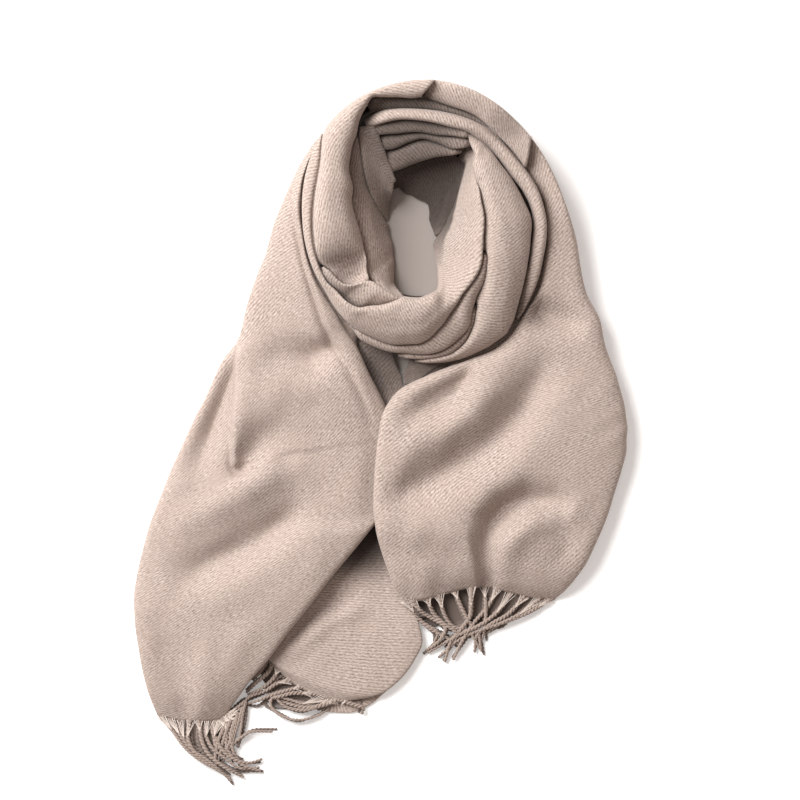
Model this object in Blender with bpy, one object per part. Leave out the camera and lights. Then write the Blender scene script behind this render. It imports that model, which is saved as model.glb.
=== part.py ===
"""Faux cashmere scarf: one fringed cloth, wound once round an open neck and laid on the floor.

The photo looks straight down, so plan sizes are measured from it, in millimetres from the middle of
the outline: +X is the photo's right and +Y its top. Loop stretches are given round the neck's centre
as a bearing in degrees (0 at +X, counter-clockwise) and a radius. Every stretch of cloth is a wall
WALL thick on a sheet of sections. A section runs from one edge to the other: it rises by `puff`
between its edges and turns down at each of them by a leg. Stretches that share a line stop half a
seam short of it, so no two walls meet, and the step in height between them shows which lies on top.
"""
import math

import bpy
from mathutils import Vector
from mathutils.bvhtree import BVHTree

MM = 0.001
NECK = (38.0, 190.0)
WALL = 2.0
BEIGE = (0.533, 0.432, 0.371, 1)
SEAM = 0.45            # plan gap between two walls along a shared line
STEP_DEG = 7.5         # bearings of the loop's sections, shared so that neighbours' facets match
ROW_GAP = 1.5          # bearings nearer than this to a stretch's end are left out
SLOPE_SPAN = 3.0       # degrees to each side for the slope of a line
FLOOR = 0.3            # lowest point of a wall above the floor
MAX_SLANT = 3.0        # most that a slanting line widens its own seam
LEAST_WIDTH = 1.5      # of a stretch where its two lines run together
LONG_LEG = 20.0        # a leg longer than this has a point half way down
BAND_ARCH = 2.3        # power of the arch across a stretch of the loop
TUCK_OF_LEG = 0.25     # how far a leg leans in, as a share of its length
TUCK_OF_WIDTH = 0.12   # and at most this share of the section's width
MOST_TUCK = 4.0

# ---------------------------------------------------------------- lines round the neck: bearing, radius
BACK_BAND_OUT = ((40, 151), (43, 152), (50, 153), (60, 156), (70, 158.5), (84, 160))
LEFT_BAND_OUT = ((84, 160), (90, 159), (100, 157), (110, 154), (120, 150), (130, 143.5), (135, 136),
                 (142, 124.5), (150, 117), (160, 111), (170, 107), (180, 104.5), (188, 103), (195, 99),
                 (200, 93), (205, 90), (211, 86), (215, 79), (219, 66))
BACK_BAND_LOW = ((40, 128.5), (50, 129), (60, 133), (66, 135.5), (75, 136), (82, 138), (88, 141))
LEFT_BAND_IN = ((84, 141), (90, 140), (100, 143), (105, 146), (107.5, 148), (112, 140), (117, 130),
                (121, 120), (125, 114), (130, 105), (135, 97), (142, 82), (150, 76), (160, 66.5),
                (170, 59.5), (180, 56), (190, 54.5), (200, 55), (210, 59), (219, 63))
FRONT_PLY_TOP = ((195, 98), (200, 93), (205, 90), (211, 86), (215, 79), (219, 66), (225, 61),
                 (235, 60), (245, 61), (252, 62))
FRONT_TOP = ((130, 143.5), (135, 136), (142, 124.5), (150, 117), (160, 111), (170, 107), (180, 104.5),
             (190, 103), (200, 101), (205, 100), (212, 96), (221, 94), (229, 90), (234, 82), (240, 76),
             (246, 69.5), (252, 63), (257, 59.5), (270, 59), (280, 56.5), (290, 54.5), (300, 41),
             (306, 33), (312, 27), (320, 21), (330, 18), (345, 15.5), (360, 17), (380, 24), (390, 33),
             (395, 37), (400, 44), (405, 52), (410, 63), (415, 77), (418, 89))
FRONT_LOW = ((130, 147), (140, 136.5), (150, 129), (160, 122.5), (170, 117), (180, 113), (190, 110),
             (200, 108), (210, 106), (220, 107), (230, 108.5), (245, 107.5), (255, 108), (265, 105),
             (270, 104), (276, 99.5), (280, 94.5), (285, 89), (290, 83.5), (295, 79), (300, 75.5),
             (310, 70.5), (320, 69), (330, 68.5), (340, 67.5), (350, 65.5), (360, 65), (370, 67),
             (380, 70), (390, 73), (400, 79), (410, 86), (413, 90), (416, 101), (420, 106), (426, 117))
SECOND_LOW = ((228, 110), (235, 111.5), (240, 115), (255, 115.5), (265, 114), (275, 114.8),
              (280, 114), (285, 112), (290, 108.5), (295, 105), (300, 101), (306, 91), (310, 86.5),
              (315, 82), (320, 80), (330, 77), (340, 73), (345, 71.5), (350, 69))
THIRD_LOW = ((262, 119), (275, 119.5), (285, 119.5), (290, 117), (295, 113), (300, 106), (305, 99),
             (308, 94), (312, 90), (315, 87))
RIGHT_BAND_IN = ((268, 119.5), (285, 119.5), (290, 117), (295, 113), (300, 106), (305, 99), (308, 94),
                 (312, 88), (315, 82), (320, 80), (330, 77), (340, 73), (345, 71.5), (352.5, 67),
                 (360, 65), (370, 67), (380, 70), (390, 73), (400, 79), (410, 86), (413, 90),
                 (416, 101), (420, 106), (426, 117))
RIGHT_BAND_OUT = ((268, 122), (272, 123), (280, 125), (285, 126), (295, 127), (305, 128), (313, 129),
                  (316, 127), (320, 124.5), (325, 120.5), (330, 117), (340, 113), (350, 111.5),
                  (360, 112), (370, 114.5), (380, 112), (390, 111), (400, 111), (405, 112), (410, 114),
                  (420, 118), (426, 120))
THIN_BAND_IN = ((320, 126), (325, 122.5), (330, 119), (335, 117.5), (345, 115), (355, 115),
                (365, 117.5), (375, 119), (385, 117), (395, 114), (405, 115.5), (415, 117.5),
                (425, 120), (435, 118), (450, 120), (460, 122.5), (472, 123))
THIN_BAND_OUT = ((320, 129), (325, 127.5), (330, 126.5), (340, 126), (350, 126), (360, 128), (370, 129.5),
                 (380, 129.5), (390, 128), (400, 126.5), (410, 127.5), (420, 130), (440, 129.5),
                 (450, 130), (460, 132), (465, 133), (472, 131))
FOLD_1_LOW = ((60, 113), (65, 111), (75, 107), (80, 105.5), (90, 106.5), (100, 106.5), (105, 108),
              (112, 111))
FOLD_2_LOW = ((60, 106), (63, 102), (70, 96.5), (80, 98.5), (87, 100), (95, 97), (105, 93), (112, 95))
FOLD_3_LOW = ((60, 99), (66, 92), (77, 84), (85, 79), (95, 74.5), (105, 72), (112, 72))
WALL_TOP = ((15, 22), (20, 24), (30, 33), (35, 37), (40, 44), (45, 52), (50, 63), (55, 77), (58, 89),
            (66, 92), (77, 84), (85, 79), (95, 74.5), (105, 72), (112, 72))
WALL_FOOT = ((15, 17), (30, 17.5), (45, 19), (60, 23), (67, 30), (75, 37), (90, 40.5), (100, 46),
             (105, 48), (112, 62))
DEEP_FOOT = ((113, 62), (116, 57), (120, 51), (125, 46), (130, 42), (140, 38), (152, 34))
DEEP_TOP = ((113, 122), (117, 126), (119, 121), (122, 108), (126, 93), (130, 81), (134, 71),
            (138, 58), (143, 47), (152, 38))
INNER_LEFT_FOOT = ((121, 113), (126, 93), (130, 81), (134, 71), (138, 58), (143, 47), (150, 38),
                   (155, 33), (165, 30.5), (175, 28), (190, 26), (200, 27), (210, 29), (220, 31.5),
                   (230, 38), (235, 43), (240, 49), (250, 55), (255, 57))
INNER_LEFT_TOP = ((121, 120), (125, 114), (130, 105), (135, 97), (142, 82), (150, 76), (160, 66.5),
                  (170, 59.5), (180, 56), (190, 54.5), (200, 55), (210, 59), (216, 62), (225, 61),
                  (235, 60), (245, 61), (255, 61.5))

# ---------------------------------------------------------------- stretches of the loop
# Each row: bearing, z at the inner edge, z at the outer edge, puff, inner leg, outer leg.
BANDS = {
    "back_band": (BACK_BAND_LOW, BACK_BAND_OUT, (
        (42, 46, 60, 3, 10, 52), (55, 48, 62, 4, 10, 56), (70, 50, 64, 4, 10, 60),
        (84, 50, 62, 4, 10, 60))),
    "left_band": (LEFT_BAND_IN, LEFT_BAND_OUT, (
        (84.3, 56, 58, 7, 10, 56), (100, 57, 58, 9, 10, 56), (107.5, 58, 58, 10, 12, 56),
        (117, 56, 58, 16, 12, 56), (130, 54, 57, 19, 12, 44), (142, 50, 57, 21, 12, 12),
        (155, 48, 58, 21, 12, 12), (170, 46, 58, 20, 12, 12), (182, 46, 57, 15, 12, 12),
        (190, 46, 55, 8, 12, 10), (196.5, 46, 52, -1, 12, 8), (203, 46, 50, -6, 12, 8),
        (210, 46, 48, -7, 12, 8), (218, 47, 47, -2, 8, 8))),
    "front_ply": (FRONT_PLY_TOP, FRONT_TOP, (
        (200, 58, 54, 3, 8, 8), (211, 59, 47, 4, 10, 8), (219, 59, 42, 5, 12, 8),
        (230, 60, 44, 5, 12, 8), (240, 59, 48, 4, 10, 8), (250, 58, 56, 2, 8, 8))),
    "front_band": (FRONT_TOP, FRONT_LOW, (
        (136, 50, 46, 3, 8, 8), (150, 54, 50, 4, 8, 8), (180, 55, 50, 5, 8, 8),
        (200, 55, 48, 5, 8, 8), (212, 58, 45, 5, 8, 8), (225, 60, 40, 9, 9, 8),
        (240, 61, 37, 13, 12, 8), (252, 62, 35, 16, 58, 8), (270, 62, 37, 17, 58, 8),
        (284, 60, 45, 16, 56, 8), (293, 47, 53, 14, 43, 8), (302, 26, 59, 13, 22, 8),
        (312, 6, 64, 12, 2, 8), (330, 3, 67, 11, 1, 8), (360, 3, 68, 11, 1, 8),
        (380, 5, 67, 10, 2, 8), (395, 14, 66, 8, 4, 8), (405, 26, 64, 6, 6, 8),
        (412, 40, 62, 4, 6, 8), (420, 50, 60, 2, 6, 8))),
    "second_fold": (FRONT_LOW, SECOND_LOW, (
        (235, 33, 31, 2, 8, 8), (240, 34, 29, 4, 8, 8), (255, 32, 26, 4, 8, 8),
        (270, 34, 27, 5, 8, 8), (285, 43, 33, 7, 8, 8), (300, 52, 42, 8, 8, 8),
        (315, 59, 52, 6, 8, 8), (330, 62, 58, 4, 8, 8), (345, 63, 61, 3, 8, 8))),
    "third_fold": (SECOND_LOW, THIRD_LOW, (
        (264, 23, 21, 2, 6, 6), (277, 24, 21, 3, 6, 6), (290, 31, 25, 4, 6, 6),
        (300, 38, 33, 4, 6, 6), (307.5, 45, 41, 3, 6, 6))),
    "right_band": (RIGHT_BAND_IN, RIGHT_BAND_OUT, (
        (272, 18, 16, 2, 5, 5), (280, 21, 17, 6, 6, 6), (290, 27, 19, 9, 7, 6),
        (300, 35, 23, 13, 8, 7), (310, 44, 27, 16, 8, 8), (320, 52, 34, 16, 8, 8),
        (335, 59, 41, 15, 8, 8), (352.5, 62, 45, 14, 8, 8), (370, 62, 46, 14, 8, 8),
        (390, 60, 46, 13, 8, 8), (405, 56, 45, 12, 8, 8), (414, 52, 44, 8, 8, 8),
        (422, 48, 44, 3, 8, 8))),
    "thin_band": (THIN_BAND_IN, THIN_BAND_OUT, (
        (325, 31, 30, 2, 6, 6), (335, 38, 36, 5, 8, 8), (350, 43, 40, 7, 8, 8),
        (370, 46, 42, 8, 8, 8), (390, 48, 44, 9, 8, 8), (410, 50, 46, 9, 8, 8),
        (430, 52, 48, 9, 8, 8), (450, 53, 49, 9, 8, 8), (465, 53, 48, 8, 8, 8),
        (471, 50, 46, 6, 8, 8))),
    "back_under_band": (THIN_BAND_OUT, BACK_BAND_LOW, (
        (409, 38, 39, 1, 6, 6), (420, 40, 41, 1, 6, 6), (440, 41, 42, 2, 6, 6),
        (447, 41, 42, 2, 6, 6))),
    "back_under_left": (THIN_BAND_OUT, LEFT_BAND_IN, (
        (447.4, 41, 42, 2, 6, 6), (460, 41, 42, 2, 6, 6), (467, 40, 41, 2, 6, 6))),
    "back_fold_1": (FOLD_1_LOW, THIN_BAND_IN, (
        (66, 47, 46, 3, 8, 8), (80, 47, 44, 4, 8, 8), (95, 47, 44, 5, 8, 8),
        (112.2, 45, 44, 4, 8, 8))),
    "back_fold_2": (FOLD_2_LOW, FOLD_1_LOW, (
        (64, 42, 42, 2, 8, 8), (75, 41, 41, 4, 8, 8), (90, 40, 40, 4, 8, 8),
        (112.2, 38, 38, 5, 8, 8))),
    "back_fold_3": (FOLD_3_LOW, FOLD_2_LOW, (
        (67, 36, 36, 2, 8, 8), (80, 34, 35, 6, 8, 8), (95, 31, 34, 7, 8, 8),
        (112.2, 30, 32, 7, 8, 8))),
    "back_wall": (WALL_FOOT, WALL_TOP, (
        (16, 3, 8, 1, 1, 4), (30, 3, 16, 2, 1, 6), (45, 3, 28, 3, 1, 6), (60, 3, 31, 4, 1, 6),
        (75, 3, 28, 3, 1, 6), (90, 3, 27, 4, 1, 6), (111, 3, 20, 2, 1, 6))),
    "inner_left_deep": (DEEP_FOOT, DEEP_TOP, (
        (113, 3, 42, 6, 1, 8), (118, 3, 43, 7, 1, 8), (126, 3, 38, 6, 1, 8), (134, 3, 28, 3, 1, 8),
        (142.5, 3, 10, 1, 1, 4), (146, 3, 5, 0, 1, 1))),
    "inner_left": (INNER_LEFT_FOOT, INNER_LEFT_TOP, (
        (122, 44, 46, 2, 8, 8), (130, 34, 43, 4, 8, 8), (138, 18, 40, 6, 8, 8),
        (146, 6, 38, 7, 3, 8), (155, 3, 36, 7, 1, 8), (180, 3, 34, 7, 1, 8), (205, 3, 34, 7, 1, 8),
        (220, 3, 36, 7, 1, 8), (235, 4, 38, 5, 2, 6), (245, 18, 40, 3, 8, 6), (253, 34, 42, 1, 8, 6))),
}
# Points across a stretch of the loop; the others have NARROW_POINTS.
BAND_POINTS = {"left_band": 9, "front_band": 8, "right_band": 8, "inner_left": 7,
               "inner_left_deep": 7, "back_wall": 6, "back_band": 6}
NARROW_POINTS = 5

# ---------------------------------------------------------------- tails, from the loop to the hem
# Each row: x, y, z of one edge, x, y, z of the other, puff, first leg, second leg.
LEFT_TAIL = (
    (-66, 285, 26, -63.5, 281.5, 28, 1, 22, 4), (-76, 270, 24, -72, 266.5, 33, 3, 22, 6),
    (-87, 248, 22, -78.4, 243.8, 35, 6, 20, 8), (-97, 226, 20, -80.1, 220.5, 36, 8, 19, 8),
    (-106, 203, 19, -77.3, 196, 36, 9, 18, 8), (-113, 177, 18, -73.1, 172.2, 35, 10, 17, 8),
    (-122, 155, 17, -65.9, 152.2, 34, 11, 16, 8), (-131, 128, 16, -56.3, 135.6, 32, 11, 15, 8),
    (-141, 91, 15, -46, 119.3, 29, 12, 14, 8), (-157, 68, 14, -36, 102, 25, 13, 13, 7),
    (-172, 36, 13, -24, 84, 21, 14, 12, 5), (-187, 6, 13, -12, 58, 18, 16, 12, 4),
    (-200, -22, 13, 0, 34, 12, 18, 12, 2), (-210, -45, 13, 10, 6, 7, 19, 12, 2),
    (-222, -76, 13, 8, -45, 7, 19, 12, 2), (-231, -100, 13, 2, -82, 9, 18, 12, 2),
    (-236.5, -120, 13, -13, -103, 19, 15, 12, 6), (-241, -140, 13, -33, -127, 20, 14, 12, 6.2),
    (-245, -170, 13, -57, -157, 20, 14, 12, 6.2), (-243, -202, 12, -83, -190, 19, 13, 11, 6),
    (-238, -232, 10, -109, -224, 17, 10, 9, 4), (-231, -262, 7, -133, -254, 13, 7, 6, 4),
    (-222, -285, 2, -158, -289, 2, 1.5, 0.7, 0.7))
RIGHT_TAIL = (
    (136.8, 271.1, 33, 153, 286.5, 46, 3, 5, 42), (150.4, 252.5, 31, 168, 263, 42, 5, 5, 38),
    (164.5, 223.2, 29, 183, 229, 36, 6, 5, 34), (167.1, 190, 26, 195, 190, 24, 11, 5, 22),
    (163.7, 166.8, 24, 200, 160, 21, 13, 5, 19), (160, 145, 22, 206, 136, 18, 14, 5, 17),
    (150, 124.5, 20, 219, 109, 17, 15, 5, 16), (138, 106, 18, 224, 86, 15, 17, 4, 14),
    (127, 91, 16, 229, 70, 14, 18, 4, 13), (114, 80, 15, 236, 52, 14, 18, 4, 13),
    (93, 71, 14, 241, 33, 13, 19, 4, 12), (71, 63, 17, 245, 14, 13, 18, 5, 12),
    (45, 53, 22, 246, 0, 13, 17, 4, 12), (17, 37, 24, 245.5, -17, 13, 16, 3, 12),
    (1, 9, 27, 241, -38, 13, 14, 2, 12), (-4, -34, 29, 232, -67, 13, 12, 2, 12),
    (-6, -75, 29.5, 224, -92, 13, 12, 3, 12), (-4, -97, 26.5, 212, -120, 12, 15, 4, 11),
    (4, -127, 19, 198, -144, 11, 12, 3, 10), (13, -152, 17, 184, -160, 7, 7, 3, 6),
    (24, -171, 13.5, 174, -169, 2, 0.5, 0.7, 0.7))
UNDER_TAIL = (
    (-45, -108, 6, 20, -96, 6, 2, 2, 2), (-62, -130, 6, 23, -130, 6, 2, 2, 2),
    (-80, -160, 7, 27, -166, 7, 2, 3, 2), (-97, -187, 7, 38, -192, 8, 3, 3, 4),
    (-108, -204, 7, 42, -211, 8, 4, 3, 4), (-114, -215, 7, 33, -231, 8, 4, 3, 4),
    (-118, -222, 7, 19, -249, 8, 4, 3, 4), (-117, -225, 7, -2, -264, 8, 4, 3, 4),
    (-112, -226, 2, -36, -271, 5.5, 1, 0.7, 0.7))
BOTTOM_LAYER = (
    (-12, -215, 2.4, 18, -225, 2.4, 0.4, 1.4, 1.4), (-18, -235, 2.4, 16, -249, 2.4, 0.4, 1.4, 1.4),
    (-24, -250, 2.4, 3, -263, 2.4, 0.4, 1.4, 1.4), (-30, -263, 2.4, -14, -276, 2.4, 0.4, 1.4, 1.4),
    (-34, -274, 2.4, -32, -282, 2.4, 0.4, 1.4, 1.4))
GAP_LEFT = (
    (-26, 93, 9, 12, 82, 8, 2, 3, 3), (-16, 77, 9, 13, 74, 8, 2, 3, 3),
    (-5, 62, 8, 17, 62, 7, 2, 3, 3), (4, 47, 8, 21, 53, 7, 1, 3, 3), (10, 37, 8, 22.9, 45, 7, 1, 3, 3))
GAP_RIGHT = (
    (32, 84, 7, 88, 84, 7, 2, 3, 2), (31, 73, 7, 82, 76, 7, 2, 3, 2), (27, 63, 7, 62, 66, 7, 2, 3, 2),
    (24, 54, 7, 44, 54, 7, 1, 3, 2), (25, 45, 7, 34, 45, 7, 1, 3, 2))

# Each row: share of the tail's length, how far the middle of the section is drawn towards the loop.
BOWS = {
    "right_tail": ((0.0, 0), (0.80, 0), (0.92, 6), (1.0, 13)),
    "left_tail": ((0.0, 0), (0.90, 0), (1.0, -4)),
    "under_tail": ((0.0, 0), (0.6, 0), (1.0, -11)),
}
NO_BOW = ((0.0, 0), (1.0, 0))

# Folds on the tails. Each row: x, y, height, half width; negative heights are troughs.
LEFT_FOLDS = (
    ((-139, 95, 0, 8), (-146, 70, 9, 9), (-147, 40, 12, 10), (-149, 0, 12, 11), (-146, -35, 8, 12),
     (-140, -52, 0, 12)),
    ((-132, 60, 0, 12), (-137, 20, -4, 13), (-136, -20, -7, 14), (-120, -42, -6, 16),
     (-92, -50, 0, 16)),
    ((-150, -62, 2, 14), (-130, -42, 6, 13), (-112, -28, 6, 13), (-92, -24, 2, 14)),
    ((-198, -135, 0, 14), (-168, -107, -6, 14), (-130, -82, -7, 15), (-98, -56, -5, 15),
     (-80, -40, 0, 14)),
    ((-78, 92, 0, 12), (-58, 72, -4, 14), (-45, 48, 0, 14)),
    ((-190, -190, 0, 16), (-150, -160, 4, 20), (-90, -110, 5, 22), (-40, -60, 3, 20),
     (-20, -10, 0, 18)),
    ((-215, -180, 0, 10), (-212, -215, -3, 12), (-200, -250, -3, 12), (-192, -280, -2, 10)),
    ((-165, -200, 0, 12), (-178, -235, 3, 12), (-182, -280, 3, 10)),
    ((-92, 237, 0, 6), (-86, 212, -3, 7), (-81.5, 190, -4, 7), (-77, 170, -5, 7), (-71.5, 150, -6, 8),
     (-65, 130.5, -6, 8), (-58, 109, -6, 9), (-48, 87.4, -6, 10), (-30, 60, -5, 10), (-18, 32, -3, 10),
     (-5, 0, 0, 10)),
    ((10, 30, -7, 18), (1, 9, -20, 22), (-2, -34, -24, 26), (-3, -75, -22, 26),
     (-8, -100, -9, 20)),
)
RIGHT_FOLDS = (
    ((25, 42, 2, 9), (46, 53, 6, 9), (64, 62, 7, 9), (88, 71, 5, 9)),
    ((30, 36, 0, 12), (52, 42, -7, 11), (74, 48, -9, 10), (92, 58, -5, 9)),
    ((112, 82, 0, 12), (95, 45, 5, 13), (70, 25, 7, 14), (40, 10, 6, 14), (12, -10, 2, 14)),
    ((150, 92, 0, 13), (135, 40, -4, 14), (115, 10, -6, 14), (85, -10, -7, 14), (50, -25, -7, 14),
     (18, -42, -4, 13), (4, -55, 0, 12)),
    ((185, -5, 0, 18), (130, -25, 4, 16), (95, -45, 6, 14), (55, -75, 6, 14), (22, -108, 3, 14)),
    ((178, -62, 0, 12), (155, -56, -5, 11), (130, -57, -8, 10), (108, -68, -8, 10), (98, -90, -8, 9),
     (96, -118, -7, 9), (98, -160, -4, 8)),
    ((112, -100, 3, 12), (125, -86, 5, 13), (150, -78, 5, 15), (180, -72, 0, 15)),
    ((150, -150, 0, 10), (160, -120, -3, 13), (190, -110, -3, 14), (215, -105, 0, 12)),
    ((165, 130, 0, 12), (148, 108, -4, 13), (128, 84, -3, 12)),
)
FOLD_RISE = 2.2        # folds reach their full height this fast from the edges
LEAST_SHARE = 0.4      # no trough goes deeper than this share of the cloth's height
TAILS = {  # rows, folds, sections along, points across, power of the arch
    "left_tail": (LEFT_TAIL, LEFT_FOLDS, 22, 15, 4.5),
    "right_tail": (RIGHT_TAIL, RIGHT_FOLDS, 22, 15, 4.5),
    "under_tail": (UNDER_TAIL, (), 9, 9, 4.0),
    "bottom_layer": (BOTTOM_LAYER, (), 5, 6, 3.0),
    "gap_layer_left": (GAP_LEFT, (), 5, 6, 3.0),
    "gap_layer_right": (GAP_RIGHT, (), 5, 6, 3.0),
}
# ---------------------------------------------------------------- hidden layers
LOOP_CORE_IN = ((0, 38), (30, 52), (45, 60), (60, 66), (90, 62), (112, 76), (130, 72), (150, 56),
                (180, 46), (210, 48), (235, 62), (250, 68), (270, 68), (290, 64), (305, 55), (330, 42),
                (360, 38))
LOOP_CORE_OUT = ((0, 118), (30, 118), (45, 138), (60, 143), (83, 147), (100, 144), (120, 138),
                 (135, 126), (150, 108), (170, 99), (200, 96), (225, 98), (245, 98), (262, 96),
                 (280, 104), (300, 112), (320, 112), (340, 108), (360, 118))
CORE_GAP = 0.55        # hidden layers below the walls that they carry
CORE_LAYERS = 2        # grooves round a core's side, one for each hidden ply
CORE_GROOVE = 1.6
FULL_GROOVE = 8.0      # a lower side has a shallower groove
CORE_SECTORS = 30      # sections round the loop's core
LOOP_CORE_POINTS = 6   # points across it
TAIL_CORE_POINTS = 7
CORE_MIN = 1.4         # a core's least height
RIM_DROP = 0.75        # height of a core's rim beside the points next to it
LOOP_REACH = 17.0      # how far round each point the cloth over it is looked for
TAIL_REACH = 20.0
RAY_STEP = 1.7
OPEN_SKY = 200.0       # height where no cloth is met
# Each row: share of the tail's length, then how far the core stays inside each edge.
LEFT_CORE = ((0.30, 20, 22), (0.42, 20, 34), (0.60, 20, 30), (0.70, 20, 40), (0.80, 20, 62),
             (0.90, 18, 62), (0.95, 14, 40))
RIGHT_CORE = ((0.46, 26, 22), (0.60, 40, 22), (0.75, 44, 22), (0.88, 44, 20), (0.95, 34, 16))

# ---------------------------------------------------------------- fringes
STRAND = 2.2           # strand width at its root
STRAND_TAPER = 0.35    # how much narrower it is at its tip
STRAND_STEPS = 3
STRIP_DEPTH = 3.0
STRIP_THICK = 2.0
HEM_GAP = 1.2          # from the cloth's last section to the strip: half a wall and a seam
HEM_STEPS = 12
STRAND_LEVELS = (1.6, 4.6, 7.6)
LEVEL_RISE = 2.2       # strands reach their level this fast from the strip
# Each entry: tail, first and last share of its hem, corner points past the hem, tips along the
# strip (share, x, y), how far strands run straight out, strands.
FRINGES = {
    "fringe_right": ("right_tail", 0.14, 1.0, (),
                     ((0, 50, -224), (0.25, 60, -231), (0.5, 76, -235), (0.75, 97, -222),
                      (1, 122, -198)), 10, 28),
    "fringe_left": ("left_tail", 0.04, 1.0, ((-147, -281), (-137, -267)),
                    ((0, -176, -332), (0.3, -158, -345), (0.6, -141, -349), (0.85, -124, -343),
                     (1, -116, -329)), 8, 26),
    "fringe_under": ("under_tail", 0.02, 0.84, (),
                     ((0, -136, -246), (0.3, -133, -262), (0.6, -118, -272), (1, -92, -284)), 8, 16),
}


# ---------------------------------------------------------------- curves through table rows
def smooth(xs, ys, x):
    """Monotone cubic through (xs, ys): it never swings past the rows."""
    if x <= xs[0]:
        return ys[0]
    if x >= xs[-1]:
        return ys[-1]
    k = max(i for i in range(len(xs) - 1) if xs[i] <= x)

    def slope(i):
        if i in (0, len(xs) - 1):
            j = min(i, len(xs) - 2)
            return (ys[j + 1] - ys[j]) / (xs[j + 1] - xs[j])
        h0 = xs[i] - xs[i - 1]
        h1 = xs[i + 1] - xs[i]
        d0 = (ys[i] - ys[i - 1]) / h0
        d1 = (ys[i + 1] - ys[i]) / h1
        if d0 * d1 <= 0:
            return 0.0
        return (h0 + h1) * 3 / ((2 * h1 + h0) / d0 + (h1 + 2 * h0) / d1)

    h = xs[k + 1] - xs[k]
    t = (x - xs[k]) / h
    m0 = slope(k) * h
    m1 = slope(k + 1) * h
    return ((2 * t**3 - 3 * t**2 + 1) * ys[k] + (t**3 - 2 * t**2 + t) * m0
            + (3 * t**2 - 2 * t**3) * ys[k + 1] + (t**3 - t**2) * m1)


def line_radius(line, bearing):
    """Radius of a line at a bearing; a table may count past 360."""
    for turn in (bearing, bearing + 360, bearing - 360):
        if line[0][0] - 1e-6 <= turn <= line[-1][0] + 1e-6:
            return smooth([row[0] for row in line], [row[1] for row in line], turn)
    near = min((line[0], line[-1]), key=lambda row: abs((row[0] - bearing + 180) % 360 - 180))
    return near[1]


def line_inset(line, bearing):
    """Half a seam and half a wall, square to the line, measured along the radius."""
    radius = line_radius(line, bearing)
    rise = ((line_radius(line, bearing + SLOPE_SPAN) - line_radius(line, bearing - SLOPE_SPAN))
            / math.radians(2 * SLOPE_SPAN))
    return (WALL / 2 + SEAM / 2) * min(MAX_SLANT, math.hypot(1, rise / radius))


def row_at(rows, keys, x):
    return [smooth(keys, [row[c] for row in rows], x) for c in range(len(rows[0]))]


def polar(bearing, radius):
    a = math.radians(bearing)
    return Vector((NECK[0] + radius * math.cos(a), NECK[1] + radius * math.sin(a), 0.0))


def bearings(first, last):
    """First, last and the shared multiples of STEP_DEG between them."""
    shared = [k * STEP_DEG for k in range(math.ceil(first / STEP_DEG), int(last / STEP_DEG) + 1)]
    return [first] + [b for b in shared if first + ROW_GAP < b < last - ROW_GAP] + [last]


# ---------------------------------------------------------------- sheets of sections
def arch(share, exponent):
    """0 at the edges, 1 in the middle, upright at the edges."""
    return (1 - abs(2 * share - 1) ** exponent) ** (1 / exponent)


def section(first, second, puff, legs, points, exponent, leg_points=1):
    """Points from the foot of one leg, over the cloth, to the foot of the other."""
    across = Vector((second.x - first.x, second.y - first.y, 0))
    width = across.length
    across.normalize()
    out = []
    for k in range(points):
        share = 0.5 - 0.5 * math.cos(math.pi * k / (points - 1))
        p = first.lerp(second, share)
        p.z += puff * arch(share, exponent)
        out.append(p)
    for end, leg, side in ((first, legs[0], 1), (second, legs[1], -1)):
        tuck = min(leg * TUCK_OF_LEG, width * TUCK_OF_WIDTH, MOST_TUCK)
        feet = []
        for k in range(1, leg_points + 1):
            turn = k / leg_points
            foot = end + across * side * tuck * turn**2
            foot.z = max(end.z - leg * turn, FLOOR)
            feet.append(foot)
        out = feet[::-1] + out if side == 1 else out + feet
    return out


def band_sheet(inner, outer, rows, points):
    """Sections across a stretch of the loop, its edges half a seam and half a wall from the lines."""
    keys = [row[0] for row in rows]
    sheet = []
    for bearing in bearings(keys[0], keys[-1]):
        _, z_in, z_out, puff, leg_in, leg_out = row_at(rows, keys, bearing)
        r_in = line_radius(inner, bearing) + line_inset(inner, bearing)
        r_out = line_radius(outer, bearing) - line_inset(outer, bearing)
        if r_out - r_in < LEAST_WIDTH:
            middle = (r_in + r_out) / 2
            r_in = middle - LEAST_WIDTH / 2
            r_out = middle + LEAST_WIDTH / 2
        first = polar(bearing, r_in)
        second = polar(bearing, r_out)
        first.z = z_in
        second.z = z_out
        sheet.append((first, second, puff, (leg_in, leg_out)))
    leg_points = 2 if max(max(legs) for _, _, _, legs in sheet) > LONG_LEG else 1
    return [section(first, second, puff, legs, points, BAND_ARCH, leg_points)
            for first, second, puff, legs in sheet]


def relief(p, folds):
    """Height that the folds add at a point: each is a soft ridge or trough along its own line."""
    total = 0.0
    for rows in folds:
        best = None
        for a, b in zip(rows, rows[1:]):
            run = Vector((b[0] - a[0], b[1] - a[1]))
            spot = Vector((p.x - a[0], p.y - a[1]))
            t = max(0.0, min(1.0, spot.dot(run) / run.length_squared))
            away = (spot - run * t).length
            if best is None or away < best[0]:
                best = (away, a[2] + (b[2] - a[2]) * t, a[3] + (b[3] - a[3]) * t)
        total += best[1] * math.exp(-(best[0] / best[2]) ** 2)
    return total


def lengths_along(rows):
    """Distance along a tail's middle at each of its rows."""
    middles = [Vector(((row[0] + row[3]) / 2, (row[1] + row[4]) / 2)) for row in rows]
    keys = [0.0]
    for a, b in zip(middles, middles[1:]):
        keys.append(keys[-1] + (b - a).length)
    return keys


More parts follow.
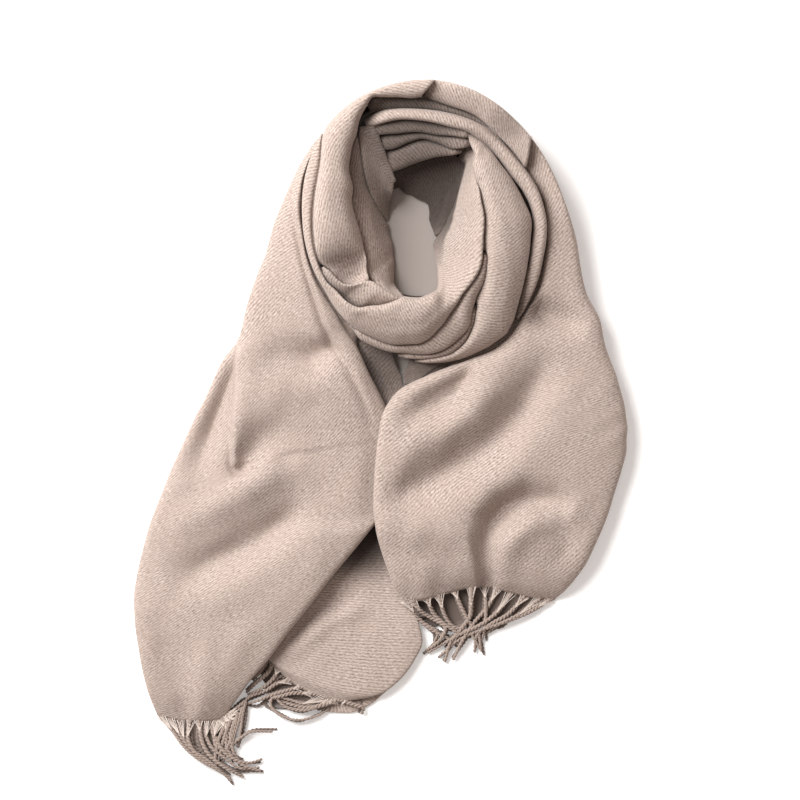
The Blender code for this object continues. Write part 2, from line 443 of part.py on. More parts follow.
def tail_sheet(rows, folds, bows, along, points, exponent):
    """Sections across a tail, bowed towards the loop near its hem and with its folds."""
    keys = lengths_along(rows)
    sheet = []
    for k in range(along):
        at = k / (along - 1)
        x1, y1, z1, x2, y2, z2, puff, leg1, leg2 = row_at(rows, keys, keys[-1] * at)
        first = Vector((x1, y1, z1))
        second = Vector((x2, y2, z2))
        cut = section(first, second, puff, (leg1, leg2), points, exponent)
        bow = smooth([row[0] for row in bows], [row[1] for row in bows], at)
        up = Vector((y1 - y2, x2 - x1, 0)).normalized()
        for i, p in enumerate(cut[1:-1]):
            share = 0.5 - 0.5 * math.cos(math.pi * i / (points - 1))
            middle = 4 * share * (1 - share)
            p += up * bow * middle
            rise = relief(p, folds) * min(1, FOLD_RISE * middle)
            p.z = max(p.z + rise, p.z * LEAST_SHARE)
        sheet.append(cut)
    return sheet


# ---------------------------------------------------------------- solids
def grid_normals(sheet):
    """Upward normals at a sheet's points."""
    rows = len(sheet)
    cols = len(sheet[0])
    out = []
    for i in range(rows):
        line = []
        for j in range(cols):
            du = sheet[min(i + 1, rows - 1)][j] - sheet[max(i - 1, 0)][j]
            ahead = sheet[i][min(j + 1, cols - 1)] - sheet[i][j]
            behind = sheet[i][j] - sheet[i][max(j - 1, 0)]
            dv = ahead.normalized() + behind.normalized()
            line.append(dv.cross(du).normalized())
        out.append(line)
    middle = sum(line[cols // 2].z for line in out)
    return [[n if middle > 0 else -n for n in line] for line in out]


def wall_mesh(sheet, thickness=WALL):
    """A closed wall on a sheet of sections: its points moved half a wall each way and joined."""
    normals = grid_normals(sheet)
    rows = len(sheet)
    cols = len(sheet[0])
    verts = []
    for side in (0.5, -0.5):
        for line, norm in zip(sheet, normals):
            for p, n in zip(line, norm):
                q = p + n * thickness * side
                verts.append(Vector((q.x, q.y, max(q.z, FLOOR))))
    base = rows * cols

    def at(i, j, side):
        return side * base + i * cols + j

    faces = []
    for i in range(rows - 1):
        for j in range(cols - 1):
            faces.append((at(i, j, 0), at(i, j + 1, 0), at(i + 1, j + 1, 0), at(i + 1, j, 0)))
            faces.append((at(i, j, 1), at(i + 1, j, 1), at(i + 1, j + 1, 1), at(i, j + 1, 1)))
    for i in range(rows - 1):
        for j in (0, cols - 1):
            quad = (at(i, j, 0), at(i + 1, j, 0), at(i + 1, j, 1), at(i, j, 1))
            faces.append(quad if j == 0 else quad[::-1])
    for j in range(cols - 1):
        for i in (0, rows - 1):
            quad = (at(i, j, 0), at(i, j, 1), at(i, j + 1, 1), at(i, j + 1, 0))
            faces.append(quad if i == 0 else quad[::-1])
    return verts, faces


def face_out(verts, faces):
    """Turns every face round where the solid's volume comes out negative."""
    volume = 0.0
    for face in faces:
        for a, b in zip(face[1:], face[2:]):
            volume += verts[face[0]].dot(verts[a].cross(verts[b]))
    return faces if volume > 0 else [face[::-1] for face in faces]


def cloth_material(name):
    """Plain rough beige for one node."""
    material = bpy.data.materials.new(name)
    material.use_nodes = True
    shader = material.node_tree.nodes["Principled BSDF"]
    shader.inputs["Base Color"].default_value = BEIGE
    shader.inputs["Roughness"].default_value = 0.95
    shader.inputs["Metallic"].default_value = 0.0
    material.diffuse_color = BEIGE
    return material


BUILT = []  # points and faces of each node so far


def add_node(name, verts, faces):
    mesh = bpy.data.meshes.new(name)
    mesh.from_pydata([v * MM for v in verts], [], face_out(verts, faces))
    mesh.materials.append(cloth_material(name + "_cloth"))
    node = bpy.data.objects.new(name, mesh)
    bpy.context.scene.collection.objects.link(node)
    BUILT.append((verts, faces))


# ---------------------------------------------------------------- hidden layers under the walls
def walls_tree():
    """All walls built so far as one tree for rays."""
    points = []
    polygons = []
    for verts, faces in BUILT:
        start = len(points)
        points.extend(verts)
        polygons.extend([tuple(start + k for k in face) for face in faces])
    return BVHTree.FromPolygons(points, polygons)


def head_room(tree, p, reach):
    """Least height of the cloth over a spot and its surroundings."""
    lowest = OPEN_SKY
    steps = int(reach / RAY_STEP)
    for i in range(-steps, steps + 1):
        for j in range(-steps, steps + 1):
            if i * i + j * j > steps * steps:
                continue
            spot = Vector((p.x + i * RAY_STEP, p.y + j * RAY_STEP, -1.0))
            hit = tree.ray_cast(spot, Vector((0, 0, 1)))[0]
            if hit is not None:
                lowest = min(lowest, hit.z)
    return lowest - CORE_GAP


def core_heights(tree, rows, reach):
    """Height of the hidden layers at each point of a grid, lower at its rims."""
    last = len(rows[0]) - 1
    top = [[max(CORE_MIN, head_room(tree, p, reach)) for p in row] for row in rows]
    for line in top:
        for rim, beside in ((0, 1), (last, last - 1)):
            line[rim] = max(CORE_MIN, min(line[rim], line[beside] * RIM_DROP))
    return top


def rim_loops(count, cols, closed):
    """The grid's rims as loops of (row, column): two for a ring, one for a strip."""
    if closed:
        return [[(i, 0) for i in range(count)], [(i, cols - 1) for i in range(count)]]
    loop = [(i, 0) for i in range(count)] + [(count - 1, j) for j in range(1, cols)]
    loop += [(i, cols - 1) for i in range(count - 2, -1, -1)] + [(0, j) for j in range(cols - 2, 0, -1)]
    return [loop]


def inward_at(rows, loop, a, closed):
    """Direction from a rim point towards the inside of the grid."""
    i, j = loop[a]
    before_i, before_j = loop[a - 1]
    after_i, after_j = loop[(a + 1) % len(loop)]
    along = rows[after_i][after_j] - rows[before_i][before_j]
    side = Vector((along.y, -along.x, 0)).normalized()
    inward = rows[i][min(max(j, 1), len(rows[0]) - 2)] - rows[i][j]
    if not closed and inward.length < 1e-6:
        inward = rows[min(max(i, 1), len(rows) - 2)][j] - rows[i][j]
    return side if side.dot(inward) >= 0 else -side


def core_solid(tree, rows, closed, reach):
    """A rounded solid with a flat underside below the cloth, its sides grooved layer by layer."""
    count = len(rows)
    cols = len(rows[0])
    top = core_heights(tree, rows, reach)
    verts = []
    index = {}

    def add(key, p):
        index[key] = len(verts)
        verts.append(p)

    for i in range(count):
        for j in range(cols):
            p = rows[i][j]
            add((i, j, "top"), Vector((p.x, p.y, top[i][j])))
            add((i, j, "bottom"), Vector((p.x, p.y, 0.0)))
    layers = 2 * CORE_LAYERS
    loops = rim_loops(count, cols, closed)
    for loop in loops:
        for a, (i, j) in enumerate(loop):
            inward = inward_at(rows, loop, a, closed)
            for layer in range(1, layers):
                groove = CORE_GROOVE if layer % 2 else 0.0
                p = rows[i][j] + inward * groove * min(1.0, top[i][j] / FULL_GROOVE)
                add((i, j, layer), Vector((p.x, p.y, top[i][j] * layer / layers)))
    faces = []
    for i in range(count if closed else count - 1):
        n = (i + 1) % count
        for j in range(cols - 1):
            quad = ((i, j), (i, j + 1), (n, j + 1), (n, j))
            faces.append(tuple(index[(a, b, "top")] for a, b in quad))
            faces.append(tuple(index[(a, b, "bottom")] for a, b in quad[::-1]))
    levels = ["bottom"] + list(range(1, layers)) + ["top"]
    for which, loop in enumerate(loops):
        for s, t in zip(loop, loop[1:] + loop[:1]):
            for low, high in zip(levels, levels[1:]):
                quad = (index[s + (low,)], index[t + (low,)], index[t + (high,)], index[s + (high,)])
                faces.append(quad[::-1] if which == 0 else quad)
    return verts, faces


def loop_core():
    """Grid of plan points for the layers under the loop."""
    rows = []
    for k in range(CORE_SECTORS):
        bearing = 360 * k / CORE_SECTORS
        r_in = line_radius(LOOP_CORE_IN, bearing)
        r_out = line_radius(LOOP_CORE_OUT, bearing)
        rows.append([polar(bearing, r_in + (r_out - r_in) * j / (LOOP_CORE_POINTS - 1))
                     for j in range(LOOP_CORE_POINTS)])
    return rows


def tail_core(table, insets, along):
    """Grid of plan points for the layers under a tail, inside its edges by the insets."""
    keys = lengths_along(table)
    shares = [row[0] for row in insets]
    rows = []
    for k in range(along):
        share = shares[0] + (shares[-1] - shares[0]) * k / (along - 1)
        _, inset_1, inset_2 = row_at(insets, shares, share)
        x1, y1, _, x2, y2, _, _, _, _ = row_at(table, keys, keys[-1] * share)
        one = Vector((x1, y1, 0))
        two = Vector((x2, y2, 0))
        run = (two - one).normalized()
        one += run * inset_1
        two -= run * inset_2
        rows.append([one.lerp(two, j / (TAIL_CORE_POINTS - 1)) for j in range(TAIL_CORE_POINTS)])
    return rows


# ---------------------------------------------------------------- fringes
def along_line(points, share):
    """Plan point at a share of a line's length."""
    lengths = [0.0]
    for a, b in zip(points, points[1:]):
        lengths.append(lengths[-1] + math.dist(a[:2], b[:2]))
    x = lengths[-1] * share
    return Vector((smooth(lengths, [p[0] for p in points], x), smooth(lengths, [p[1] for p in points], x), 0))


def hem_line(sheet, first, last, corners):
    """The cloth's last section moved out past its rim, from one share of it to another."""
    cut = sheet[-1][1:-1]
    line = []
    for i, p in enumerate(cut):
        run = (cut[min(i + 1, len(cut) - 1)] - cut[max(i - 1, 0)]).normalized()
        line.append(p + Vector((run.y, -run.x, 0)).normalized() * HEM_GAP)
    shares = [first + (last - first) * k / HEM_STEPS for k in range(HEM_STEPS + 1)]
    return [along_line(line, share) for share in shares] + list(corners)


def away_from_cloth(run):
    """Level direction square to the hem, towards the photo's bottom."""
    out = Vector((run.y, -run.x, 0))
    return out if out.y <= 0 else -out


def strand(verts, faces, root_face, tip, straight, level):
    """A tapered strand with four sides out of one face of the strip."""
    upper, ahead, ahead_low, lower = root_face
    root = (verts[upper] + verts[ahead] + verts[ahead_low] + verts[lower]) / 4
    run = (verts[ahead] - verts[upper]).normalized()
    bend = root + away_from_cloth(run) * straight
    last = list(root_face)
    for step in range(1, STRAND_STEPS + 1):
        t = step / STRAND_STEPS
        p = root * (1 - t) ** 2 + bend * 2 * t * (1 - t) + tip * t**2
        heading = (bend - root) * (1 - t) + (tip - bend) * t
        heading.z = 0
        heading.normalize()
        side = Vector((-heading.y, heading.x, 0))
        if side.dot(run) < 0:
            side = -side
        half = STRAND / 2 * (1 - STRAND_TAPER * t)
        middle = root.z + (level - root.z) * min(1, LEVEL_RISE * t)
        ring = []
        for sx, sz in ((-1, 1), (1, 1), (1, -1), (-1, -1)):
            ring.append(len(verts))
            verts.append(Vector((p.x, p.y, max(middle + half * sz, FLOOR))) + side * half * sx)
        for m in range(4):
            faces.append((last[m], last[(m + 1) % 4], ring[(m + 1) % 4], ring[m]))
        last = ring
    faces.append(tuple(last))


def fringe(hem, tips, straight, count):
    """A narrow strip with a strand out of every other cell of its outer face."""
    cells = 2 * count + 1
    verts = []
    faces = []
    rings = []
    for k in range(cells + 1):
        near = along_line(hem, k / cells)
        before = along_line(hem, max(k - 1, 0) / cells)
        after = along_line(hem, min(k + 1, cells) / cells)
        far = near + away_from_cloth((after - before).normalized()) * STRIP_DEPTH
        top = FLOOR + STRIP_THICK
        rings.append([len(verts) + m for m in range(4)])
        for q, z in ((near, FLOOR), (near, top), (far, top), (far, FLOOR)):
            verts.append(Vector((q.x, q.y, z)))
    faces.append(tuple(rings[0]))
    faces.append(tuple(rings[-1][::-1]))
    tip_keys = [tip[0] for tip in tips]
    for k, (a, b) in enumerate(zip(rings, rings[1:])):
        faces.append((a[0], b[0], b[1], a[1]))
        faces.append((a[1], b[1], b[2], a[2]))
        faces.append((a[3], b[3], b[0], a[0]))
        outer = (a[2], b[2], b[3], a[3])
        if k % 2 == 0:
            faces.append(outer)
            continue
        number = k // 2
        share = (number + 0.5) / count
        tip = Vector((smooth(tip_keys, [t[1] for t in tips], share),
                      smooth(tip_keys, [t[2] for t in tips], share), 0))
        level = STRAND_LEVELS[number % len(STRAND_LEVELS)]
        strand(verts, faces, outer, tip, straight, level)
    return verts, faces


def main():
    for old in list(bpy.data.objects):
        bpy.data.objects.remove(old)
    for name, (inner, outer, rows) in BANDS.items():
        sheet = band_sheet(inner, outer, rows, BAND_POINTS.get(name, NARROW_POINTS))
        add_node(name, *wall_mesh(sheet))
    sheets = {}
    for name, (rows, folds, along, points, exponent) in TAILS.items():
        sheets[name] = tail_sheet(rows, folds, BOWS.get(name, NO_BOW), along, points, exponent)
        add_node(name, *wall_mesh(sheets[name]))
    tree = walls_tree()
    add_node("loop_hidden_layers", *core_solid(tree, loop_core(), True, LOOP_REACH))
    for name, rows, insets, along in (("left_tail", LEFT_TAIL, LEFT_CORE, 15),
                                      ("right_tail", RIGHT_TAIL, RIGHT_CORE, 12)):
        core = tail_core(rows, insets, along)
        add_node(name + "_hidden_layers", *core_solid(tree, core, False, TAIL_REACH))
    for name, (tail, first, last, corners, tips, straight, count) in FRINGES.items():
        hem = hem_line(sheets[tail], first, last, corners)
        add_node(name, *fringe(hem, tips, straight, count))
    total = sum(sum(len(face) - 2 for face in faces) for _, faces in BUILT)
    print(len(BUILT), "nodes,", total, "triangles")


main()
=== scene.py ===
# %% [markdown]
# # A faux cashmere scarf, wound once and laid on the floor
# The real thing is one rectangle of brushed twill with a twisted fringe on both short ends.
# It has no seams, so what has to be modelled is how that one cloth lies: a loop of gathered
# folds round an open neck, and two ends that spread out below it. Each stretch that shows is
# its own thin shell here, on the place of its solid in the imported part.

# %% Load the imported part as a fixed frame
import math

import bpy
import numpy as np
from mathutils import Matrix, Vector
from mathutils.kdtree import KDTree


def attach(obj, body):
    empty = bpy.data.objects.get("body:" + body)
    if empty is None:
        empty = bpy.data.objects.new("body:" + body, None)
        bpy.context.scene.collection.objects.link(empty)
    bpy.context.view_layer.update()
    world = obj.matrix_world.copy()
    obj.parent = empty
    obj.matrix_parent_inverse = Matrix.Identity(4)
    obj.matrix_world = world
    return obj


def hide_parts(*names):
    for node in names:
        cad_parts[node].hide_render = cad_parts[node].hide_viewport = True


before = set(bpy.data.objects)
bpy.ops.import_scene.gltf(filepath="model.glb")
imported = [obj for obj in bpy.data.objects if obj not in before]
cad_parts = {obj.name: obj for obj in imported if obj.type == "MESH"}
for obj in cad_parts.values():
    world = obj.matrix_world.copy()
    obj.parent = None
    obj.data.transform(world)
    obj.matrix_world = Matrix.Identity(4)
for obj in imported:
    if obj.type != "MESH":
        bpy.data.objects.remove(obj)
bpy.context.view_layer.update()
print("solids in the part:", len(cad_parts))

# %% [markdown]
# ## Where the cloth runs
# The camera looks straight down, so every line of the loop can be told as a bearing and a
# radius round the middle of the neck hole: one row each five to ten degrees where a line
# bends. +X is the right of the picture, +Y its top, and all sizes are millimetres until a
# mesh is made. A stretch of the loop lies between two such lines. Where two lines run
# together along one fold, the rows they share have a name of their own.

# %% Lines round the neck: bearing in degrees, radius in mm
MM = 0.001
NECK = (38.0, 190.0)
BACK_BAND_OUT = ((40, 151), (43, 152), (50, 153), (60, 156), (70, 158.5), (84, 160))
RIM_RUN = ((130, 143.5), (135, 136), (142, 124.5), (150, 117), (160, 111), (170, 107), (180, 104.5))
RIM_END = ((200, 93), (205, 90), (211, 86), (215, 79), (219, 66))
LEFT_BAND_OUT = ((84, 160), (90, 159), (100, 157), (110, 154), (120, 150), *RIM_RUN, (188, 103),
                 (195, 99), *RIM_END)
BACK_BAND_LOW = ((40, 128.5), (50, 129), (60, 133), (66, 135.5), (75, 136), (82, 138), (88, 141))
LEFT_FOLD = ((121, 120), (125, 114), (130, 105), (135, 97), (142, 82), (150, 76), (160, 66.5),
             (170, 59.5), (180, 56), (190, 54.5), (200, 55), (210, 59))
LEFT_BAND_IN = ((84, 141), (90, 140), (100, 143), (105, 146), (107.5, 148), (112, 140), (117, 130),
                *LEFT_FOLD, (219, 63))
FRONT_PLY_TOP = ((195, 98), *RIM_END, (225, 61), (235, 60), (245, 61), (252, 62))
FRONT_TOP = (*RIM_RUN, (190, 103), (200, 101), (205, 100), (212, 96), (221, 94), (229, 90),
             (234, 82), (240, 76), (246, 69.5), (252, 63), (257, 59.5), (270, 59), (280, 56.5),
             (290, 54.5), (300, 41), (306, 33), (312, 27), (320, 21), (330, 18), (345, 15.5),
             (360, 17), (380, 24), (390, 33), (395, 37), (400, 44), (405, 52), (410, 63), (415, 77),
             (418, 89))
RIGHT_FOLD = ((360, 65), (370, 67), (380, 70), (390, 73), (400, 79), (410, 86), (413, 90),
              (416, 101), (420, 106), (426, 117))
FRONT_LOW = ((130, 147), (140, 136.5), (150, 129), (160, 122.5), (170, 117), (180, 113), (190, 110),
             (200, 108), (210, 106), (220, 107), (230, 108.5), (245, 107.5), (255, 108), (265, 105),
             (270, 104), (276, 99.5), (280, 94.5), (285, 89), (290, 83.5), (295, 79), (300, 75.5),
             (310, 70.5), (320, 69), (330, 68.5), (340, 67.5), (350, 65.5), *RIGHT_FOLD)
SECOND_FOLD = ((315, 82), (320, 80), (330, 77), (340, 73), (345, 71.5))
SECOND_LOW = ((228, 110), (235, 111.5), (240, 115), (255, 115.5), (265, 114), (275, 114.8),
              (280, 114), (285, 112), (290, 108.5), (295, 105), (300, 101), (306, 91), (310, 86.5),
              *SECOND_FOLD, (350, 69))
THIRD_FOLD = ((285, 119.5), (290, 117), (295, 113), (300, 106), (305, 99), (308, 94))
THIRD_LOW = ((262, 119), (275, 119.5), *THIRD_FOLD, (312, 90), (315, 87))
RIGHT_BAND_IN = ((268, 119.5), *THIRD_FOLD, (312, 88), *SECOND_FOLD, (352.5, 67), *RIGHT_FOLD)
RIGHT_BAND_OUT = ((268, 122), (272, 123), (280, 125), (285, 126), (295, 127), (305, 128),
                  (313, 129), (316, 127), (320, 124.5), (325, 120.5), (330, 117), (340, 113),
                  (350, 111.5), (360, 112), (370, 114.5), (380, 112), (390, 111), (400, 111),
                  (405, 112), (410, 114), (420, 118), (426, 120))
THIN_BAND_IN = ((320, 126), (325, 122.5), (330, 119), (335, 117.5), (345, 115), (355, 115),
                (365, 117.5), (375, 119), (385, 117), (395, 114), (405, 115.5), (415, 117.5),
                (425, 120), (435, 118), (450, 120), (460, 122.5), (472, 123))
THIN_BAND_OUT = ((320, 129), (325, 127.5), (330, 126.5), (340, 126), (350, 126), (360, 128),
                 (370, 129.5), (380, 129.5), (390, 128), (400, 126.5), (410, 127.5), (420, 130),
                 (440, 129.5), (450, 130), (460, 132), (465, 133), (472, 131))
FOLD_1_LOW = ((60, 113), (65, 111), (75, 107), (80, 105.5), (90, 106.5), (100, 106.5), (105, 108),
              (112, 111))
FOLD_2_LOW = ((60, 106), (63, 102), (70, 96.5), (80, 98.5), (87, 100), (95, 97), (105, 93),
              (112, 95))
BACK_FOLD = ((66, 92), (77, 84), (85, 79), (95, 74.5), (105, 72), (112, 72))
FOLD_3_LOW = ((60, 99), *BACK_FOLD)
WALL_TOP = ((15, 22), (20, 24), (30, 33), (35, 37), (40, 44), (45, 52), (50, 63), (55, 77),
            (58, 89),
            *BACK_FOLD)
WALL_FOOT = ((15, 17), (30, 17.5), (45, 19), (60, 23), (67, 30), (75, 37), (90, 40.5), (100, 46),
             (105, 48), (112, 62))
DEEP_FOOT = ((113, 62), (116, 57), (120, 51), (125, 46), (130, 42), (140, 38), (152, 34))
DEEP_FOLD = ((126, 93), (130, 81), (134, 71), (138, 58), (143, 47))
DEEP_TOP = ((113, 122), (117, 126), (119, 121), (122, 108), *DEEP_FOLD, (152, 38))
INNER_LEFT_FOOT = ((121, 113), *DEEP_FOLD, (150, 38), (155, 33), (165, 30.5), (175, 28), (190, 26),
                   (200, 27), (210, 29), (220, 31.5), (230, 38), (235, 43), (240, 49), (250, 55),
                   (255, 57))
INNER_LEFT_TOP = (*LEFT_FOLD, (216, 62), (225, 61), (235, 60), (245, 61), (255, 61.5))


# %% Stretches of the loop
# Each stretch has its inner line, its outer line and its rows: bearing, z at the inner edge, z
# at the outer edge, puff of the middle, depth of the inner leg, depth of the outer leg.
BANDS = {
    "back_band": (BACK_BAND_LOW, BACK_BAND_OUT, (
        (42, 46, 60, 3, 10, 52), (55, 48, 62, 4, 10, 56), (70, 50, 64, 4, 10, 60),
        (84, 49, 56, 4, 10, 54))),
    "left_band": (LEFT_BAND_IN, LEFT_BAND_OUT, (
        (84.3, 57, 61, 8, 10, 58), (100, 57, 58, 9, 10, 56), (107.5, 58, 58, 10, 12, 56),
        (117, 56, 58, 16, 12, 56), (130, 54, 57, 19, 12, 44), (142, 50, 57, 21, 12, 12),
        (155, 48, 58, 21, 12, 12), (170, 46, 58, 20, 12, 12), (182, 46, 57, 15, 12, 12),
        (190, 46, 55, 8, 12, 10), (196.5, 46, 52, -1, 12, 8), (203, 46, 50, -6, 12, 8),
        (210, 46, 48, -7, 12, 8), (218, 47, 47, -2, 8, 8))),
    "front_ply": (FRONT_PLY_TOP, FRONT_TOP, (
        (200, 58, 54, 3, 8, 8), (211, 59, 47, 4, 10, 8), (219, 59, 42, 5, 12, 8),
        (230, 60, 44, 5, 12, 8), (240, 59, 48, 4, 10, 8), (250, 58, 56, 2, 8, 8))),
    "front_band": (FRONT_TOP, FRONT_LOW, (
        (136, 50, 46, 3, 8, 8), (150, 54, 50, 4, 8, 8), (180, 55, 50, 5, 8, 8),
        (200, 55, 48, 5, 8, 8), (212, 58, 45, 5, 8, 8), (225, 60, 40, 9, 9, 8),
        (240, 61, 37, 13, 12, 8), (252, 62, 35, 16, 58, 8), (270, 62, 37, 17, 58, 8),
        (284, 60, 45, 16, 56, 8), (293, 47, 53, 14, 43, 8), (302, 26, 59, 13, 22, 8),
        (312, 6, 64, 12, 2, 8), (330, 3, 67, 11, 1, 8), (360, 3, 68, 11, 1, 8),
        (380, 5, 67, 10, 2, 8), (395, 12, 64, 8, 4, 8), (405, 18, 56, 6, 6, 8),
        (412, 22, 44, 3, 6, 8), (420, 22, 30, 1, 6, 8))),
    "second_fold": (FRONT_LOW, SECOND_LOW, (
        (235, 33, 31, 2, 8, 8), (240, 34, 29, 4, 8, 8), (255, 32, 26, 4, 8, 8),
        (270, 34, 27, 5, 8, 8), (285, 43, 33, 7, 8, 8), (300, 52, 42, 8, 8, 8),
        (315, 59, 52, 6, 8, 8), (330, 62, 58, 4, 8, 8), (345, 63, 61, 3, 8, 8))),
    "third_fold": (SECOND_LOW, THIRD_LOW, (
        (264, 23, 21, 2, 6, 6), (277, 24, 21, 3, 6, 6), (290, 31, 25, 4, 6, 6),
        (300, 38, 33, 4, 6, 6), (307.5, 45, 41, 3, 6, 6))),
    "right_band": (RIGHT_BAND_IN, RIGHT_BAND_OUT, (
        (272, 18, 16, 2, 5, 5), (280, 21, 17, 6, 6, 6), (290, 27, 19, 9, 7, 6),
        (300, 35, 23, 13, 8, 7), (310, 44, 27, 16, 8, 8), (320, 52, 34, 16, 8, 8),
        (335, 59, 41, 15, 8, 8), (352.5, 62, 45, 14, 8, 8), (370, 62, 46, 14, 8, 8),
        (390, 60, 46, 13, 8, 8), (405, 56, 45, 12, 8, 8), (414, 52, 44, 8, 8, 8),
        (422, 48, 44, 3, 8, 8))),
    "thin_band": (THIN_BAND_IN, THIN_BAND_OUT, (
        (325, 25, 30, 2, 6, 6), (335, 32, 36, 5, 8, 8), (350, 38, 41, 7, 8, 8),
        (370, 39, 43, 8, 8, 8), (390, 39, 45, 9, 8, 8), (410, 40, 47, 9, 8, 8),
        (430, 52, 48, 9, 8, 8), (450, 53, 49, 9, 8, 8), (465, 53, 48, 8, 8, 8),
        (471, 50, 46, 6, 8, 8))),
    "back_under_band": (THIN_BAND_OUT, BACK_BAND_LOW, (
        (399, 37, 38, 1, 6, 6), (409, 38, 39, 1, 6, 6), (420, 40, 41, 1, 6, 6),
        (440, 41, 42, 2, 6, 6), (447, 41, 42, 2, 6, 6))),
    "back_under_left": (THIN_BAND_OUT, LEFT_BAND_IN, (
        (447.4, 41, 42, 2, 6, 6), (460, 41, 42, 2, 6, 6), (467, 40, 41, 2, 6, 6))),
    "back_fold_1": (FOLD_1_LOW, THIN_BAND_IN, (
        (66, 47, 46, 3, 8, 8), (80, 47, 44, 4, 8, 8), (95, 47, 44, 5, 8, 8),
        (112.2, 45, 44, 4, 8, 8))),
    "back_fold_2": (FOLD_2_LOW, FOLD_1_LOW, (
        (64, 42, 42, 2, 8, 8), (75, 41, 41, 4, 8, 8), (90, 40, 40, 4, 8, 8),
        (112.2, 38, 38, 5, 8, 8))),
    "back_fold_3": (FOLD_3_LOW, FOLD_2_LOW, (
        (67, 36, 36, 2, 8, 8), (80, 34, 35, 6, 8, 8), (95, 31, 34, 7, 8, 8),
        (112.2, 30, 32, 7, 8, 8))),
    "back_wall": (WALL_FOOT, WALL_TOP, (
        (16, 3, 6, 1, 1, 4), (30, 3, 9, 1, 1, 6), (45, 3, 12, 1, 1, 6), (60, 3, 13, 1, 1, 6),
        (75, 3, 13, 1, 1, 6), (90, 3, 12, 1, 1, 6), (111, 3, 9, 1, 1, 6))),
    "inner_left_deep": (DEEP_FOOT, DEEP_TOP, (
        (111, 30, 49, 3, 16, 8), (118, 24, 48, 5, 16, 8), (126, 9, 42, 6, 6, 8),
        (134, 3, 30, 4, 1, 8), (142.5, 3, 12, 1, 1, 4), (146, 3, 5, 0, 1, 1))),
    "inner_left": (INNER_LEFT_FOOT, INNER_LEFT_TOP, (
        (122, 44, 46, 2, 8, 8), (130, 34, 43, 4, 8, 8), (138, 18, 40, 6, 8, 8),
        (146, 6, 38, 7, 3, 8), (155, 3, 36, 7, 1, 8), (180, 3, 34, 7, 1, 8), (205, 3, 34, 7, 1, 8),
        (220, 3, 36, 7, 1, 8), (235, 4, 38, 5, 2, 6), (245, 18, 40, 3, 8, 6),
        (253, 34, 42, 1, 8, 6))),
}

# %% [markdown]
# ## Reading the tables
# A row is only given where a line bends, so the values between rows come from a curve. A
# monotone cubic was chosen: it passes through each row and never swings past it, which a
# plain spline does at a sharp bend and which would make two stretches cross.

# %% Curves through table rows
def run_along(points):
    """Distance along a line of points, from the first to each."""
    return np.concatenate([[0.0], np.cumsum(np.linalg.norm(np.diff(points, axis=0), axis=1))])


def through_rows(rows, at):
    """Monotone cubic through a table's rows, whose first column is the key, at these positions."""
    table = np.array(rows, float)
    keys = table[:, 0]
    values = table[:, 1:]
    gap = np.diff(keys)[:, None]
    rise = np.diff(values, axis=0) / gap
    slope = np.zeros_like(values)
    slope[0] = rise[0]
    slope[-1] = rise[-1]
    if len(keys) > 2:
        before = rise[:-1]
        after = rise[1:]
        same_way = before * after > 0
        safe_before = np.where(same_way, before, 1.0)
        safe_after = np.where(same_way, after, 1.0)
        left_weight = 2 * gap[1:] + gap[:-1]
        right_weight = gap[1:] + 2 * gap[:-1]
        mean = 3 * (gap[:-1] + gap[1:]) / (left_weight / safe_before + right_weight / safe_after)
        slope[1:-1] = np.where(same_way, mean, 0.0)
    at = np.clip(np.asarray(at, float), keys[0], keys[-1])
    k = np.clip(np.searchsorted(keys, at, side="right") - 1, 0, len(keys) - 2)
    t = ((at - keys[k]) / gap[k, 0])[:, None]
    out = ((2 * t**3 - 3 * t**2 + 1) * values[k] + (t**3 - 2 * t**2 + t) * slope[k] * gap[k]
           + (3 * t**2 - 2 * t**3) * values[k + 1] + (t**3 - t**2) * slope[k + 1] * gap[k])
    return out[:, 0] if out.shape[1] == 1 else out


def line_radius(line, bearing):
    """Radius of a line at each bearing. A line may count past 360, and its ends run on."""
    turns = np.stack([bearing, bearing + 360, bearing - 360])
    off = np.maximum(line[0][0] - turns, 0) + np.maximum(turns - line[-1][0], 0)
    nearest = np.argmin(off, axis=0)
    return through_rows(line, turns[nearest, np.arange(len(bearing))])


def ease(x):
    """0 below 0, 1 above 1, and smooth between."""
    x = np.clip(x, 0.0, 1.0)
    return x * x * (3 - 2 * x)


def ripples(u, v, size_u, size_v, seed, waves=14):
    """Soft uneven waves between about -1 and 1, longer along v than across it."""
    dice = np.random.default_rng(seed)
    total = np.zeros_like(u)
    for _ in range(waves):
        fu = dice.uniform(0.5, 1.4) / size_u * dice.choice((-1, 1))
        fv = dice.uniform(0.3, 1.3) / size_v
        total += np.sin(2 * math.pi * (u * fu + v * fv) + dice.uniform(0, 2 * math.pi))
    return total / math.sqrt(waves)


# %% [markdown]
# ## Which fold lies on top
# Where two stretches share a line, the higher one ends in a rolled edge and the lower one
# runs on under it: that is what makes the thin dark lines between the folds. The heights in
# the tables already say which is which, so the code works it out for every bearing and no
# edge has to be marked by hand.

# %% Rolled and hidden edges
SAME_LINE = 2.5        # two edges closer than this share a line
BEARING_STEP = 1.25    # degrees between sections
UNDER_RUN = 7.0        # how far a lower edge runs on under its neighbour
UNDER_SINK = 3.0       # how far it sinks on the way


def edge_of(name, side, bearing):
    """Radius and height of a stretch's edge at each bearing, nan where it has none."""
    line = BANDS[name][side]
    rows = BANDS[name][2]
    radius = np.full(len(bearing), np.nan)
    height = np.full(len(bearing), np.nan)
    for turn in (0, 360, -360):
        on = (bearing + turn >= rows[0][0] - 1) & (bearing + turn <= rows[-1][0] + 1)
        if on.any():
            radius[on] = line_radius(line, bearing[on] + turn)
            height[on] = through_rows(rows, bearing[on] + turn)[:, side]
    return radius, height


